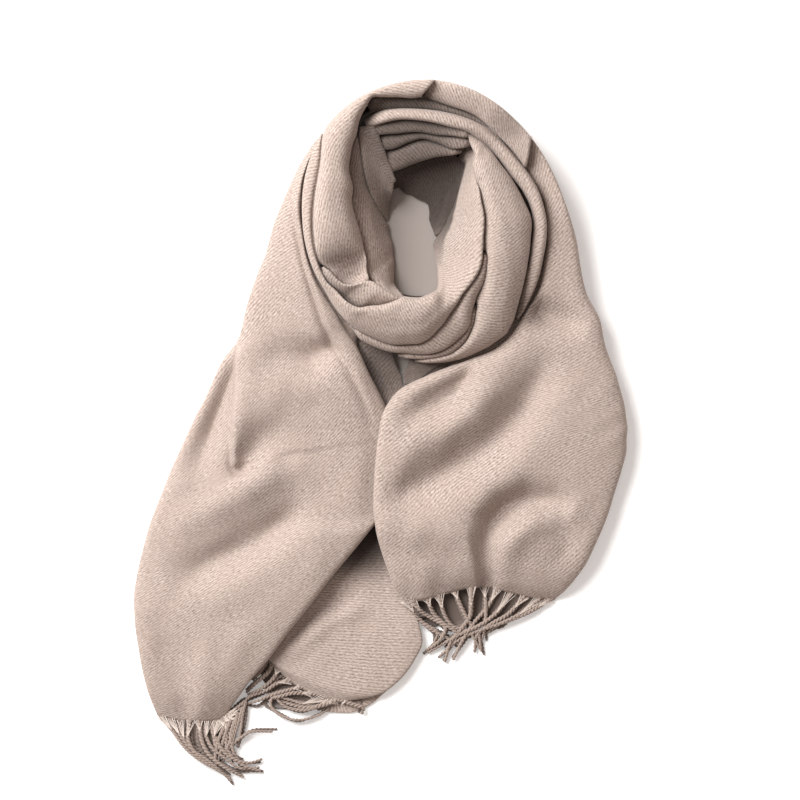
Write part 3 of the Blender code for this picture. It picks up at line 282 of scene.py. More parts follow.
def neighbour_height(name, side, bearing):
    """Height of the highest other stretch that shares this edge, nan where there is none."""
    radius, _ = edge_of(name, side, bearing)
    best = np.full(len(bearing), np.nan)
    for other in BANDS:
        if other == name:
            continue
        r, z = edge_of(other, 1 - side, bearing)
        with np.errstate(invalid="ignore"):
            near = np.abs(r - radius) < SAME_LINE
        best = np.where(near, np.fmax(best, z), best)
    return best


def soften(values, bearing_width):
    """Running mean along the bearing, so that a rolled edge turns into a hidden one softly."""
    half = max(1, int(bearing_width / BEARING_STEP))
    padded = np.pad(values, half, mode="edge")
    kernel = np.hanning(2 * half + 3)[1:-1]
    return np.convolve(padded, kernel / kernel.sum(), mode="valid")


# %% [markdown]
# ## One stretch of the loop
# A section across a stretch is a low arch: steep at a rolled edge, flat where the edge runs
# on under its neighbour. Below each rolled edge the cloth turns down and in, by the leg that
# the table gives. Long legs are the sides of the loop, where the gathered plies show as soft
# level ridges.

# %% Sections across the loop
ROLL = 1 / 2.3         # power of the arch at a rolled edge
FLAT = 0.85            # power of the arch at a hidden edge
ARCH = 2.3
LEG_POINTS = 12
LEG_GAP = 0.5          # between a leg's foot and the cloth that it stands on
SHORTEST_LEG = 1.5
SIDE_LEG = 20.0        # legs longer than this are the loop's sides
PLY = 15.0             # height of one gathered ply on those sides
PLY_SWELL = 1.3
FLOOR = 0.3
CLOTH = 1.5            # thickness of the brushed twill
END_RUN = 3.5          # degrees that a stretch's end runs on under the next
END_SINK = 5.0         # how far it sinks there
END_NARROW = 1.5       # and how far each of its edges comes in
THIN_BAND_WIDER = 2.5  # closes the slit beside the right band
SKY_BANDS = ("back_band", "left_band")
SKY_EDGE = 1.2         # their outer edge is the silhouette and is drawn in by this much
ROLLED_ENDS = ("left_band", "back_band", "inner_left_deep")  # their first end lies on top
ROLL_IN = 1.2          # how far such an end turns in, and down
ROLL_DOWN = 7.0
# Degrees that the first end's inner edge reaches past its outer edge, fading over so many.
SLANTED_ENDS = {"left_band": (4.5, 14.0), "back_band": (-8.0, 16.0)}


def leg_lean(leg, width):
    """How far a leg leans in: less where it is short or the stretch is narrow."""
    return np.minimum(np.minimum(leg * 0.25, width * 0.12), 4.0)


def band_edges(name, bearing, past):
    """Radius of both edges at each bearing, half a wall inside the traced lines."""
    inner, outer, _ = BANDS[name]
    r_in = line_radius(inner, bearing) + END_NARROW * past / END_RUN
    r_out = line_radius(outer, bearing) - END_NARROW * past / END_RUN
    middle = (r_in + r_out) / 2
    r_in = np.minimum(r_in + CLOTH / 2, middle - 0.6)
    r_out = np.maximum(r_out - CLOTH / 2, middle + 0.6)
    if name == "thin_band":
        r_in = r_in - THIN_BAND_WIDER
    if name in SKY_BANDS:
        r_out = r_out - SKY_EDGE
    return r_in, r_out


def band_grid(name, seed):
    """Points of a stretch: a row for each section, from the foot of its inner leg to the outer."""
    rows = BANDS[name][2]
    low = rows[0][0]
    high = rows[-1][0]
    first = low - (0 if name in ROLLED_ENDS else END_RUN)
    last = high + END_RUN
    bearing = np.linspace(first, last, max(8, int((last - first) / BEARING_STEP) + 1))
    z_in, z_out, puff, leg_in, leg_out = through_rows(rows, bearing).T
    past = np.maximum(low - bearing, 0) + np.maximum(bearing - high, 0)
    sink = END_SINK * ease(past / END_RUN)
    z_in = z_in - sink
    z_out = z_out - sink
    r_in, r_out = band_edges(name, bearing, past)
    hidden = []
    legs = []
    for side, (height, leg) in enumerate(((z_in, leg_in), (z_out, leg_out))):
        beside = neighbour_height(name, side, np.clip(bearing, low, high))
        alone = np.isnan(beside)
        beside = np.nan_to_num(beside)
        under = np.where(alone, 0.0, ease((beside - height) / 2.5 + 0.2))
        room = np.where(alone, 99.0, np.maximum(height - beside - LEG_GAP, SHORTEST_LEG))
        hidden.append(soften(under, 4))
        legs.append(soften(np.minimum(leg, room), 4))
    width = (r_out - r_in)[:, None]
    across = int(np.clip(10 + float(np.max(width)) / 1.6, 14, 46))
    share = 0.5 - 0.5 * np.cos(np.pi * np.arange(across) / (across - 1))
    end = np.where(share[None] < 0.5, hidden[0][:, None], hidden[1][:, None])
    arch = (1 - np.abs(2 * share - 1) ** ARCH)[None] ** (ROLL + (FLAT - ROLL) * end)
    r = r_in[:, None] + width * share
    z = z_in[:, None] + (z_out - z_in)[:, None] * share + puff[:, None] * arch
    down = np.arange(1, LEG_POINTS + 1) / LEG_POINTS
    for side, sign in ((0, 1), (1, -1)):
        under = hidden[side][:, None]
        leg = legs[side][:, None]
        swell = np.where(leg > SIDE_LEG, PLY_SWELL, 0.0) * np.sin(np.pi * down * leg / PLY) ** 2
        roll = sign * (leg_lean(leg, width) * down**2 - swell)
        run = -sign * UNDER_RUN * down
        leg_r = (r_in, r_out)[side][:, None] + roll * (1 - under) + run * under
        leg_z = (z_in, z_out)[side][:, None] - (leg * (1 - under) + UNDER_SINK * under) * down
        if side == 0:
            r = np.concatenate([leg_r[:, ::-1], r], axis=1)
            z = np.concatenate([leg_z[:, ::-1], z], axis=1)
        else:
            r = np.concatenate([r, leg_r], axis=1)
            z = np.concatenate([z, leg_z], axis=1)
    turn = np.repeat(bearing[:, None], r.shape[1], axis=1)
    if name in SLANTED_ENDS:
        reach, fade = SLANTED_ENDS[name]
        across_share = np.clip((r - r_in[:, None]) / width, 0, 1)
        turn = turn + reach * (1 - across_share) * (1 - ease((bearing - first) / fade))[:, None]
    a = np.radians(turn)
    grid = np.stack([NECK[0] + r * np.cos(a), NECK[1] + r * np.sin(a), z], axis=2)
    if name in ROLLED_ENDS:
        grid = np.concatenate([rolled_end(grid), grid])
    return rumpled(grid, seed, 0.22, 24, 90)


def rolled_end(grid):
    """Rows that turn a stretch's first end down and in, as at the edge of a fold."""
    inward = grid[4] - grid[0]
    inward[:, 2] = 0
    inward /= np.maximum(np.linalg.norm(inward, axis=1, keepdims=True), 1e-6)
    rows = []
    for turn in (1.0, 0.75, 0.5, 0.25):
        row = grid[0] + inward * (ROLL_IN * turn**2)
        row[:, 2] -= ROLL_DOWN * turn
        rows.append(row)
    return np.stack(rows)


def cloth_normals(grid):
    """Unit normals of a grid of points, upward at its middle."""
    along = np.gradient(grid, axis=0)
    across = np.gradient(grid, axis=1)
    normal = np.cross(across, along)
    normal /= np.maximum(np.linalg.norm(normal, axis=2, keepdims=True), 1e-9)
    middle = normal[:, grid.shape[1] // 2, 2].mean()
    return normal if middle > 0 else -normal


def arc_lengths(grid):
    """Distance over the cloth in mm, for the weave: u across it from the middle, v along it."""
    u = np.zeros(grid.shape[:2])
    u[:, 1:] = np.cumsum(np.linalg.norm(np.diff(grid, axis=1), axis=2), axis=1)
    u -= u[:, [grid.shape[1] // 2]]
    step = np.linalg.norm(np.diff(grid, axis=0), axis=2).mean(axis=1)
    v = np.concatenate([[0.0], np.cumsum(step)])
    return u, np.repeat(v[:, None], grid.shape[1], axis=1)


def rumpled(grid, seed, height, size_across, size_along):
    """The grid with small soft unevenness, as brushed cloth has when it is laid by hand."""
    u, v = arc_lengths(grid)
    lift = height * ripples(u, v, size_across, size_along, seed) * ease(grid[..., 2] / 12.0)
    out = grid + cloth_normals(grid) * lift[..., None]
    out[..., 2] = np.maximum(out[..., 2], FLOOR + CLOTH / 2)
    return out


# %% Rows of the two ends
# From the loop to the hem. Each row: x, y, z of one edge, x, y, z of the other, puff, depth of
# the first leg, depth of the second leg.
LEFT_TAIL = (
    (-51, 301, 16, -48, 297, 16, 1, 12, 4),
    (-66, 285, 26, -63.5, 281.5, 28, 1, 22, 4), (-76, 270, 24, -72, 266.5, 33, 3, 22, 6),
    (-87, 248, 22, -78.4, 243.8, 35, 6, 20, 8), (-97, 226, 20, -80.1, 220.5, 36, 8, 19, 8),
    (-106, 203, 19, -77.3, 196, 36, 9, 18, 8), (-113, 177, 18, -73.1, 172.2, 35, 10, 17, 8),
    (-122, 155, 17, -65.9, 152.2, 34, 11, 16, 8), (-131, 128, 16, -56.3, 135.6, 32, 11, 15, 8),
    (-141, 91, 15, -46, 119.3, 29, 12, 14, 8), (-157, 68, 14, -36, 102, 25, 13, 13, 7),
    (-172, 36, 13, -24, 84, 21, 14, 12, 5), (-187, 6, 13, -12, 58, 18, 16, 12, 4),
    (-200, -22, 13, 0, 34, 12, 18, 12, 2), (-210, -45, 13, 10, 6, 7, 19, 12, 2),
    (-222, -76, 13, 8, -45, 7, 19, 12, 2), (-231, -100, 13, 2, -82, 9, 18, 12, 2),
    (-236.5, -120, 13, -13, -103, 19, 15, 12, 6), (-241, -140, 13, -33, -127, 20, 14, 12, 6.2),
    (-245, -170, 13, -57, -157, 20, 14, 12, 6.2), (-243, -202, 12, -83, -190, 19, 13, 11, 6),
    (-238, -232, 10, -109, -224, 17, 10, 9, 4), (-231, -262, 7, -133, -254, 13, 7, 6, 4),
    (-222, -285, 2, -158, -289, 2, 1.5, 0.7, 0.7))
RIGHT_TAIL = (
    (120, 291, 31, 137, 306, 42, 3, 5, 40),
    (136.8, 271.1, 33, 153, 286.5, 46, 3, 5, 42), (150.4, 252.5, 31, 168, 263, 42, 5, 5, 38),
    (164.5, 223.2, 29, 183, 229, 36, 6, 5, 34), (167.1, 190, 26, 195, 190, 24, 11, 5, 22),
    (163.7, 166.8, 24, 200, 160, 21, 13, 5, 19), (160, 145, 22, 206, 136, 18, 14, 5, 17),
    (150, 124.5, 20, 219, 109, 17, 15, 5, 16), (138, 106, 18, 224, 86, 15, 17, 4, 14),
    (127, 91, 16, 229, 70, 14, 18, 4, 13), (114, 80, 15, 236, 52, 14, 18, 4, 13),
    (93, 71, 14, 241, 33, 13, 19, 4, 12), (71, 63, 17, 245, 14, 13, 18, 5, 12),
    (45, 53, 22, 246, 0, 13, 17, 4, 12), (17, 37, 24, 245.5, -17, 13, 16, 3, 12),
    (1, 9, 27, 241, -38, 13, 14, 2, 12), (-4, -34, 29, 232, -67, 13, 12, 2, 12),
    (-6, -75, 29.5, 224, -92, 13, 12, 3, 12), (-4, -97, 26.5, 212, -120, 12, 15, 4, 11),
    (4, -127, 19, 198, -144, 11, 12, 3, 10), (13, -152, 17, 184, -160, 7, 7, 3, 6),
    (24, -171, 13.5, 174, -169, 2, 0.5, 0.7, 0.7))
UNDER_TAIL = (
    (-34, -84, 3, 26, -70, 3, 1, 2, 2), (-45, -108, 4, 20, -96, 4, 2, 2, 2),
    (-62, -130, 6, 23, -130, 6, 2, 2, 2), (-80, -160, 7, 27, -166, 7, 2, 3, 2),
    (-97, -187, 7, 38, -192, 8, 3, 3, 4), (-108, -204, 7, 42, -211, 8, 4, 3, 4),
    (-114, -215, 7, 33, -231, 8, 4, 3, 4), (-118, -222, 7, 19, -249, 8, 4, 3, 4),
    (-117, -225, 7, -2, -264, 8, 4, 3, 4), (-112, -226, 2, -36, -271, 5.5, 1, 0.7, 0.7))
BOTTOM_LAYER = (
    (-12, -215, 2.4, 18, -225, 2.4, 0.4, 1.4, 1.4), (-18, -235, 2.4, 16, -249, 2.4, 0.4, 1.4, 1.4),
    (-24, -250, 2.4, 3, -263, 2.4, 0.4, 1.4, 1.4), (-30, -263, 2.4, -14, -276, 2.4, 0.4, 1.4, 1.4),
    (-38, -270, 2.4, -32, -282, 2.4, 0.4, 1.4, 1.4),
    (-52, -271, 2.4, -58, -281, 2.4, 0.2, 1.4, 1.4))
GAP_LEFT = (
    (-44, 120, 9, 12, 112, 8, 2, 3, 3), (-26, 93, 9, 12, 82, 8, 2, 3, 3),
    (-16, 77, 9, 13, 74, 8, 2, 3, 3), (-5, 62, 8, 17, 62, 7, 2, 3, 3),
    (4, 47, 8, 21, 53, 7, 1, 3, 3), (10, 37, 8, 22.9, 45, 7, 1, 3, 3),
    (14, 22, 8, 28, 32, 7, 1, 3, 3))
GAP_RIGHT = (
    (34, 104, 7, 92, 104, 7, 2, 3, 2), (32, 84, 7, 88, 84, 7, 2, 3, 2),
    (31, 73, 7, 82, 76, 7, 2, 3, 2), (27, 63, 7, 62, 66, 7, 2, 3, 2),
    (24, 54, 7, 44, 54, 7, 1, 3, 2), (25, 45, 7, 34, 45, 7, 1, 3, 2))

# Each row: share of the tail's length, how far the middle of the section is drawn towards the
# loop, and how narrow that bow is.
BOWS = {
    "right_tail": ((0.0, 0, 1), (0.80, 0, 1), (0.92, 6, 2), (1.0, 13, 3)),
    "left_tail": ((0.0, 0, 1), (0.90, 0, 1), (1.0, -4, 1)),
    "under_tail": ((0.0, 0, 1), (0.6, 0, 1), (1.0, -11, 1)),
}
NO_BOW = ((0.0, 0, 1), (1.0, 0, 1))
UNDER_FOLDS = (
    ((-8, -172, 0, 9), (-28, -182, 3, 9), (-50, -190, 4, 9), (-68, -204, 4, 9), (-84, -220, 2, 9)),
    ((-20, -150, 0, 12), (-44, -170, -3, 12), (-66, -186, -4, 11), (-84, -204, -3, 10)),
)

# Folds on the ends. Each row: x, y, height, half width; negative heights are troughs.
LEFT_FOLDS = (
    ((-142, 75, 0, 8), (-151, 50, -9, 12), (-160, 24, -13, 15), (-170, -2, -14, 18),
     (-184, -28, -9, 18), (-198, -50, 0, 16)),
    ((-96, 4, -4, 20), (-120, -9, -11, 18), (-133, -25, -14, 14), (-139, -39, -13, 10),
     (-142, -52, 0, 8)),
    ((-196, -92, 3, 16), (-154, -72, 8, 17), (-128, -58, 9, 16), (-106, -44, 8, 16),
     (-84, -42, 4, 16), (-60, -58, 0, 16)),
    ((-214, -150, 0, 18), (-184, -141, -9, 17), (-148, -123, -14, 17), (-120, -109, -15, 17),
     (-94, -91, -11, 16), (-70, -71, 0, 14)),
    ((-130, 66, 0, 14), (-100, 74, -8, 16), (-68, 72, -13, 16), (-51, 82, -9, 12),
     (-45, 104, 0, 9)),
    ((-100, 40, 0, 20), (-70, 20, -3, 18), (-50, -20, 0, 18)),
    ((-196, -196, 0, 20), (-150, -160, 4, 24), (-90, -128, 3, 28), (-40, -84, 2, 24),
     (-20, -28, 0, 18)),
    ((-222, -180, 0, 12), (-214, -215, -4, 14), (-202, -250, -4, 13), (-192, -280, -2, 10)),
    ((-160, -190, 0, 14), (-176, -235, 4, 14), (-182, -280, 3, 10)),
    ((-118, -176, 0, 14), (-142, -214, 3, 16), (-160, -248, 3, 15), (-170, -278, 2, 12)),
    ((-91.7, 237, 0, 4), (-86, 212, -3, 4), (-81.5, 190, -4, 4), (-77, 170, -4, 4),
     (-71.5, 150, -4, 4), (-65, 130.5, -4, 4.5), (-58, 109, -4, 5), (-48, 87, -4, 5),
     (-30, 60, -4, 5), (-17, 32, -3, 5), (-6, 0, 0, 5)),
    ((8, 34, -2, 10), (0, 9, -4, 12), (-3, -34, -5, 12), (-4, -75, -5, 12), (-9, -100, -2, 12)),
)
RIGHT_FOLDS = (
    ((14, 24, 0, 9), (28, 38, 4, 9), (46, 52, 5, 9), (66, 62, 5, 9), (80, 70, 2, 9)),
    ((88, 72, -7, 10), (84, 50, -11, 13), (72, 34, -13, 16), (52, 24, -12, 16), (32, 15, -7, 14),
     (14, 7, -1, 12)),
    ((136, 88, 0, 16), (120, 56, 3, 15), (100, 28, 3, 15), (78, 6, 3, 15), (44, -10, 3, 15),
     (14, -25, 2, 13), (-2, -32, 0, 12)),
    ((172, 82, 0, 16), (159, 50, -11, 18), (141, 20, -17, 20), (114, -9, -20, 21),
     (82, -31, -20, 21), (40, -55, -16, 19), (10, -66, -7, 15), (-2, -70, 0, 10)),
    ((160, 0, 0, 22), (134, -36, 3, 21), (96, -74, 3, 20), (52, -100, 2, 20), (12, -120, 1, 16)),
    ((194, -79, 0, 12), (172, -71, -11, 14), (147, -69, -19, 15), (126, -78, -24, 15),
     (112, -93, -23, 14), (106, -110, -18, 12), (106, -127, -13, 11), (108, -146, -10, 10),
     (106, -166, -6, 8)),
    ((122, -146, 0, 12), (128, -120, 5, 13), (136, -104, 7, 13), (154, -92, 7, 13),
     (184, -86, 2, 14)),
    ((160, -82, 0, 16), (176, -102, -4, 17), (190, -118, -6, 18), (202, -132, -3, 15)),
    ((142, 126, -12, 13), (165, 116, -14, 14), (190, 107, -8, 14), (208, 100, 0, 12)),
    ((30, -120, 0, 14), (40, -140, 3, 14), (44, -165, 2, 12)),
)

# %% [markdown]
# ## The two ends
# Below the loop the cloth opens out into broad panels. A section goes straight across from
# one edge to the other, and the folds are drawn on it as lines: each row is a point, the
# height of the fold there and its half width. A crease is the same with a sharper profile:
# it rises on one side of its line only, as cloth does where one fold overhangs the next.

# %% Folds and creases on the ends
def nearest_on(rows, x, y):
    """Distance to a line of rows, the side of it, and the rows' values at its nearest point."""
    best = np.full(x.shape, np.inf)
    side = np.ones(x.shape)
    values = [np.zeros(x.shape) for _ in rows[0][2:]]
    for a, b in zip(rows, rows[1:]):
        run = (b[0] - a[0], b[1] - a[1])
        size = run[0] ** 2 + run[1] ** 2
        t = np.clip(((x - a[0]) * run[0] + (y - a[1]) * run[1]) / size, 0, 1)
        dx = x - a[0] - run[0] * t
        dy = y - a[1] - run[1] * t
        away = np.hypot(dx, dy)
        closer = away < best
        best = np.where(closer, away, best)
        side = np.where(closer, np.sign(run[0] * dy - run[1] * dx), side)
        for k in range(len(values)):
            values[k] = np.where(closer, a[2 + k] + (b[2 + k] - a[2 + k]) * t, values[k])
    return best, side, values


def fold_height(folds, x, y):
    total = np.zeros(x.shape)
    for rows in folds:
        away, _, (height, half) = nearest_on(rows, x, y)
        total += height * np.exp(-((away / half) ** 2))
    return total


CREASE_FRONT = 4.0     # mm across the steep side of a crease


def crease_height(creases, x, y):
    """Cloth that stands up along a line and falls away softly on its left side."""
    total = np.zeros(x.shape)
    for rows in creases:
        away, side, (height, reach) = nearest_on(rows, x, y)
        signed = away * side
        front = ease(signed / CREASE_FRONT + 0.5)
        total += height * front * np.exp(-np.maximum(signed, 0) / reach)
    return total


# Creases: x, y, height, how far it falls away. The raised side is on the left of the line's run.
LEFT_CREASES = (
    ((-139, 96, 0, 70), (-143, 70, 8, 70), (-144, 40, 12, 70), (-146, 12, 13, 60),
     (-147, -17, 12, 40), (-147, -35, 8, 26), (-142, -47, 0, 20)),
    ((-96, -24, 0, 16), (-112, -27, 5, 16), (-128, -38, 7, 18), (-140, -48, 6, 20),
     (-156, -57, 0, 24)),
    ((-88, 236, 2, 14), (-83, 212, 3.5, 14), (-78.5, 190, 4, 16), (-74, 170, 4, 18),
     (-68.5, 150, 4, 18), (-62, 130, 4, 20), (-55, 109, 4.5, 20), (-45, 87, 4.5, 20),
     (-27, 60, 4.5, 20), (-14, 32, 3, 20), (-2, 0, 0, 20)),
)
RIGHT_CREASES = (
    ((91, 86, 5, 26), (92, 70, 8, 26), (92, 54, 8, 26), (88, 42, 7, 24), (76, 34, 4, 22),
     (58, 28, 0, 20)),
    ((98, -165, 4, 24), (96, -135, 5, 24), (91, -115, 4, 22), (87, -92, 0, 20)),
)

# %% Panels below the loop
PANEL_STEP = 2.6       # mm between sections
PANEL_RUN = 13.0       # how far an edge runs on under the loop or a tail
FOLD_REACH = 2.2       # how fast folds reach their full height from an edge
LOWEST_SHARE = 0.4     # no trough goes below this share of the panel's height


def panel_grid(rows, folds, creases, bows, exponent, seed, points, tucks):
    """Points of an end: a row for each section, from the foot of one leg to the other's."""
    table = np.array(rows, float)
    middles = (table[:, 0:2] + table[:, 3:5]) / 2
    keys = run_along(middles)
    at = np.linspace(0, keys[-1], max(12, int(keys[-1] / PANEL_STEP)))
    sections = through_rows(np.column_stack([keys, table]), at)
    one = sections[:, 0:3]
    two = sections[:, 3:6]
    puff, leg1, leg2 = sections[:, 6:].T
    bow, narrow = through_rows(bows, at / keys[-1]).T[:, :, None]
    run = two - one
    run[:, 2] = 0
    width = np.linalg.norm(run, axis=1)
    run /= width[:, None]
    share = 0.5 - 0.5 * np.cos(np.pi * np.arange(points) / (points - 1))
    arch = (1 - np.abs(2 * share - 1) ** exponent) ** (1 / exponent)
    grid = one[:, None] + (two - one)[:, None] * share[None, :, None]
    grid[..., 2] += puff[:, None] * arch
    middle = 4 * share * (1 - share)
    up = np.stack([-run[:, 1], run[:, 0], np.zeros(len(at))], axis=1)
    grid += up[:, None] * (bow * middle**narrow)[..., None]
    x = grid[..., 0]
    y = grid[..., 1]
    lift = fold_height(folds, x, y) + crease_height(creases, x, y)
    lift *= np.minimum(1, FOLD_REACH * middle)
    grid[..., 2] = np.maximum(grid[..., 2] + lift, grid[..., 2] * LOWEST_SHARE)
    down = np.arange(1, LEG_POINTS + 1) / LEG_POINTS
    feet = []
    for edge, leg, sign, tuck in ((0, leg1, 1, tucks[0]), (-1, leg2, -1, tucks[1])):
        under = through_rows(tuck, at / keys[-1])[:, None]
        lean = leg_lean(leg, width)[:, None] * down**2 * (1 - under)
        inward = sign * (lean - PANEL_RUN * down * under)
        foot = grid[:, edge][:, None] + run[:, None] * inward[..., None]
        foot[..., 2] -= (leg[:, None] * (1 - under) + UNDER_SINK * under) * down
        foot[..., 2] = np.maximum(foot[..., 2], FLOOR + CLOTH / 2)
        feet.append(foot)
    grid = np.concatenate([feet[0][:, ::-1], grid, feet[1]], axis=1)
    return rumpled(grid, seed, 0.25, 38, 90)


# %% [markdown]
# ## From points to cloth
# Blender could thicken a sheet with its Solidify modifier, but its rim pinches where the
# cloth turns down sharply. Here both faces and the rim are joined directly from the grid, so
# each piece is a closed wall of one even thickness. The UV map is the cloth laid out flat in
# metres, which keeps the weave at its real size however the cloth is folded.
#
# Deep between the folds the scarf is darker than studio light leaves it. So every point also
# carries a value from 0 to 1 of painted shade, which darkens its colour in the twill.

# %% Shells of cloth
# Painted shade, where stacked cloth keeps nearly all light out: x, y, up to this height, radius,
# share.
PAINTED_SHADE_PLACES = (
    (54, 240, 24, 64, 0.9), (30, 292, 51, 54, 0.74), (2, 256, 50, 34, 0.5), (66, 318, 47, 62, 0.5),
    (126, 306, 70, 18, 0.38), (-42, 163, 90, 21, 0.22), (150, 120, 60, 16, 0.25),
    (8, 62, 14, 36, 0.72), (40, 76, 14, 40, 0.6), (-16, -108, 14, 40, 0.9),
)
PAINTED_SHADE_FADE = 6.0       # mm of height over which the shade begins


def painted_shade_at(points):
    """How much painted shade each point gets."""
    painted_shade = np.zeros(len(points))
    for x, y, top, radius, share in PAINTED_SHADE_PLACES:
        near = np.exp(-((np.hypot(points[:, 0] - x, points[:, 1] - y) / radius) ** 4))
        painted_shade = np.maximum(painted_shade, share * near * (1 - ease((points[:, 2] - top) / PAINTED_SHADE_FADE)))
    return painted_shade


def in_scene(name, data):
    """An object for a mesh, a light or a camera, linked to the scene."""
    new = bpy.data.objects.new(name, data)
    bpy.context.scene.collection.objects.link(new)
    return new


def new_object(name, points, faces, painted_shade, materials, smooth=True):
    """An object from points in mm, each with its share of painted shade."""
    mesh = bpy.data.meshes.new(name)
    mesh.from_pydata((points * MM).tolist(), [], faces)
    mesh.polygons.foreach_set("use_smooth", np.full(len(faces), smooth))
    mesh.attributes.new("painted_shade", "FLOAT", "POINT").data.foreach_set("value", painted_shade)
    for material in materials:
        mesh.materials.append(material)
    return in_scene(name, mesh)


def quads(rows, cols, start=0):
    """Quads between the points of a grid stored row by row."""
    i, j = np.meshgrid(np.arange(rows - 1), np.arange(cols - 1), indexing="ij")
    a = (i * cols + j + start).ravel()
    return np.stack([a, a + 1, a + cols + 1, a + cols], axis=1)


def wall_faces(rows, cols):
    """Quads of a closed wall: a grid, the same grid on its other face, and the rim between."""
    total = rows * cols
    at = np.arange(total).reshape(rows, cols)
    rim = np.concatenate([at[0], at[1:, -1], at[-1, -2::-1], at[-2:0:-1, 0]])
    after = np.roll(rim, -1)
    sides = np.stack([rim, rim + total, after + total, after], axis=1)
    return np.concatenate([quads(rows, cols), quads(rows, cols, total)[:, ::-1], sides])


def cloth_shell(name, grid, material):
    """A wall of cloth on a grid of points, and its cut in metres, measured from the grid."""
    rows, cols = grid.shape[:2]
    normal = cloth_normals(grid)
    u, v = arc_lengths(grid)
    outer = (grid + normal * CLOTH / 2).reshape(-1, 3)
    inner = (grid - normal * CLOTH / 2).reshape(-1, 3)
    points = np.concatenate([outer, inner])
    points[:, 2] = np.maximum(points[:, 2], FLOOR)
    faces = wall_faces(rows, cols)
    along = np.gradient(grid, axis=0)[:, cols // 2]
    across = np.gradient(grid, axis=1)[:, cols // 2]
    if np.cross(across, along)[:, 2].mean() > 0:
        faces = faces[:, ::-1]
    piece = new_object(name, points, faces.tolist(), painted_shade_at(points), [material])
    flat = np.stack([u.ravel(), v.ravel()], axis=1) * MM
    layer = piece.data.uv_layers.new(name="cut")
    layer.data.foreach_set("uv", np.concatenate([flat, flat])[faces.ravel()].ravel())
    width = float((u[:, -1] - u[:, 0]).mean()) * MM
    length = float(v[-1, 0]) * MM
    return piece, (round(width, 3), round(length, 3))


# %% [markdown]
# ## Brushed twill
# The cloth is a soft twill of acrylic and viscose yarn, brushed after weaving. A twill shows
# as fine slanting ridges, broken up by the raised nap, which also gives the folds their pale
# bloom at a low angle. So the finish is a rough diffuse base with a sheen, a wave for the
# ridges, and two sizes of noise that break the wave up. The ridges are 2.9 mm apart, coarser
# than real, because finer ones would not show at this distance.

# %% Colours and a small helper for shader nodes
def rgb(hex_code):
    """Linear colour from an sRGB hex code."""
    parts = [int(hex_code[k:k + 2], 16) / 255 for k in (1, 3, 5)]
    linear = [c / 12.92 if c <= 0.04045 else ((c + 0.055) / 1.055) ** 2.4 for c in parts]
    return (*linear, 1.0)


def add(tree, kind, inputs=None, **settings):
    """A shader node with its settings; an input is a value or another node's output socket."""
    node = tree.nodes.new(kind)
    for key, value in settings.items():
        setattr(node, key, value)
    for key, value in (inputs or {}).items():
        if isinstance(value, bpy.types.NodeSocket):
            tree.links.new(value, node.inputs[key])
        else:
            node.inputs[key].default_value = value
    return node


def mixed(tree, factor, a, b, **settings):
    """Output of a node that mixes two colours."""
    return add(tree, "ShaderNodeMix", {"Factor": factor, "A": a, "B": b},
               data_type="RGBA", **settings).outputs["Result"]


# From DEEP_YARN to LIT_YARN: partly the twill's own pattern, partly painted shade and painted
# light.
LIT_YARN = "#C2B3AA"
DEEP_YARN = "#6C5B51"
WARM_YARN = "#A08D82"
SHADE = "#1E1612"
TWILL_PITCH = 0.0029   # from ridge to ridge, in metres
NAP_SIZE = 0.0013      # clumps of raised fibre
CLOUD_SIZE = 1 / 22    # patches where the nap lies over
WAVE_SCALE = 0.3142    # a wave texture at this scale has one ridge a unit


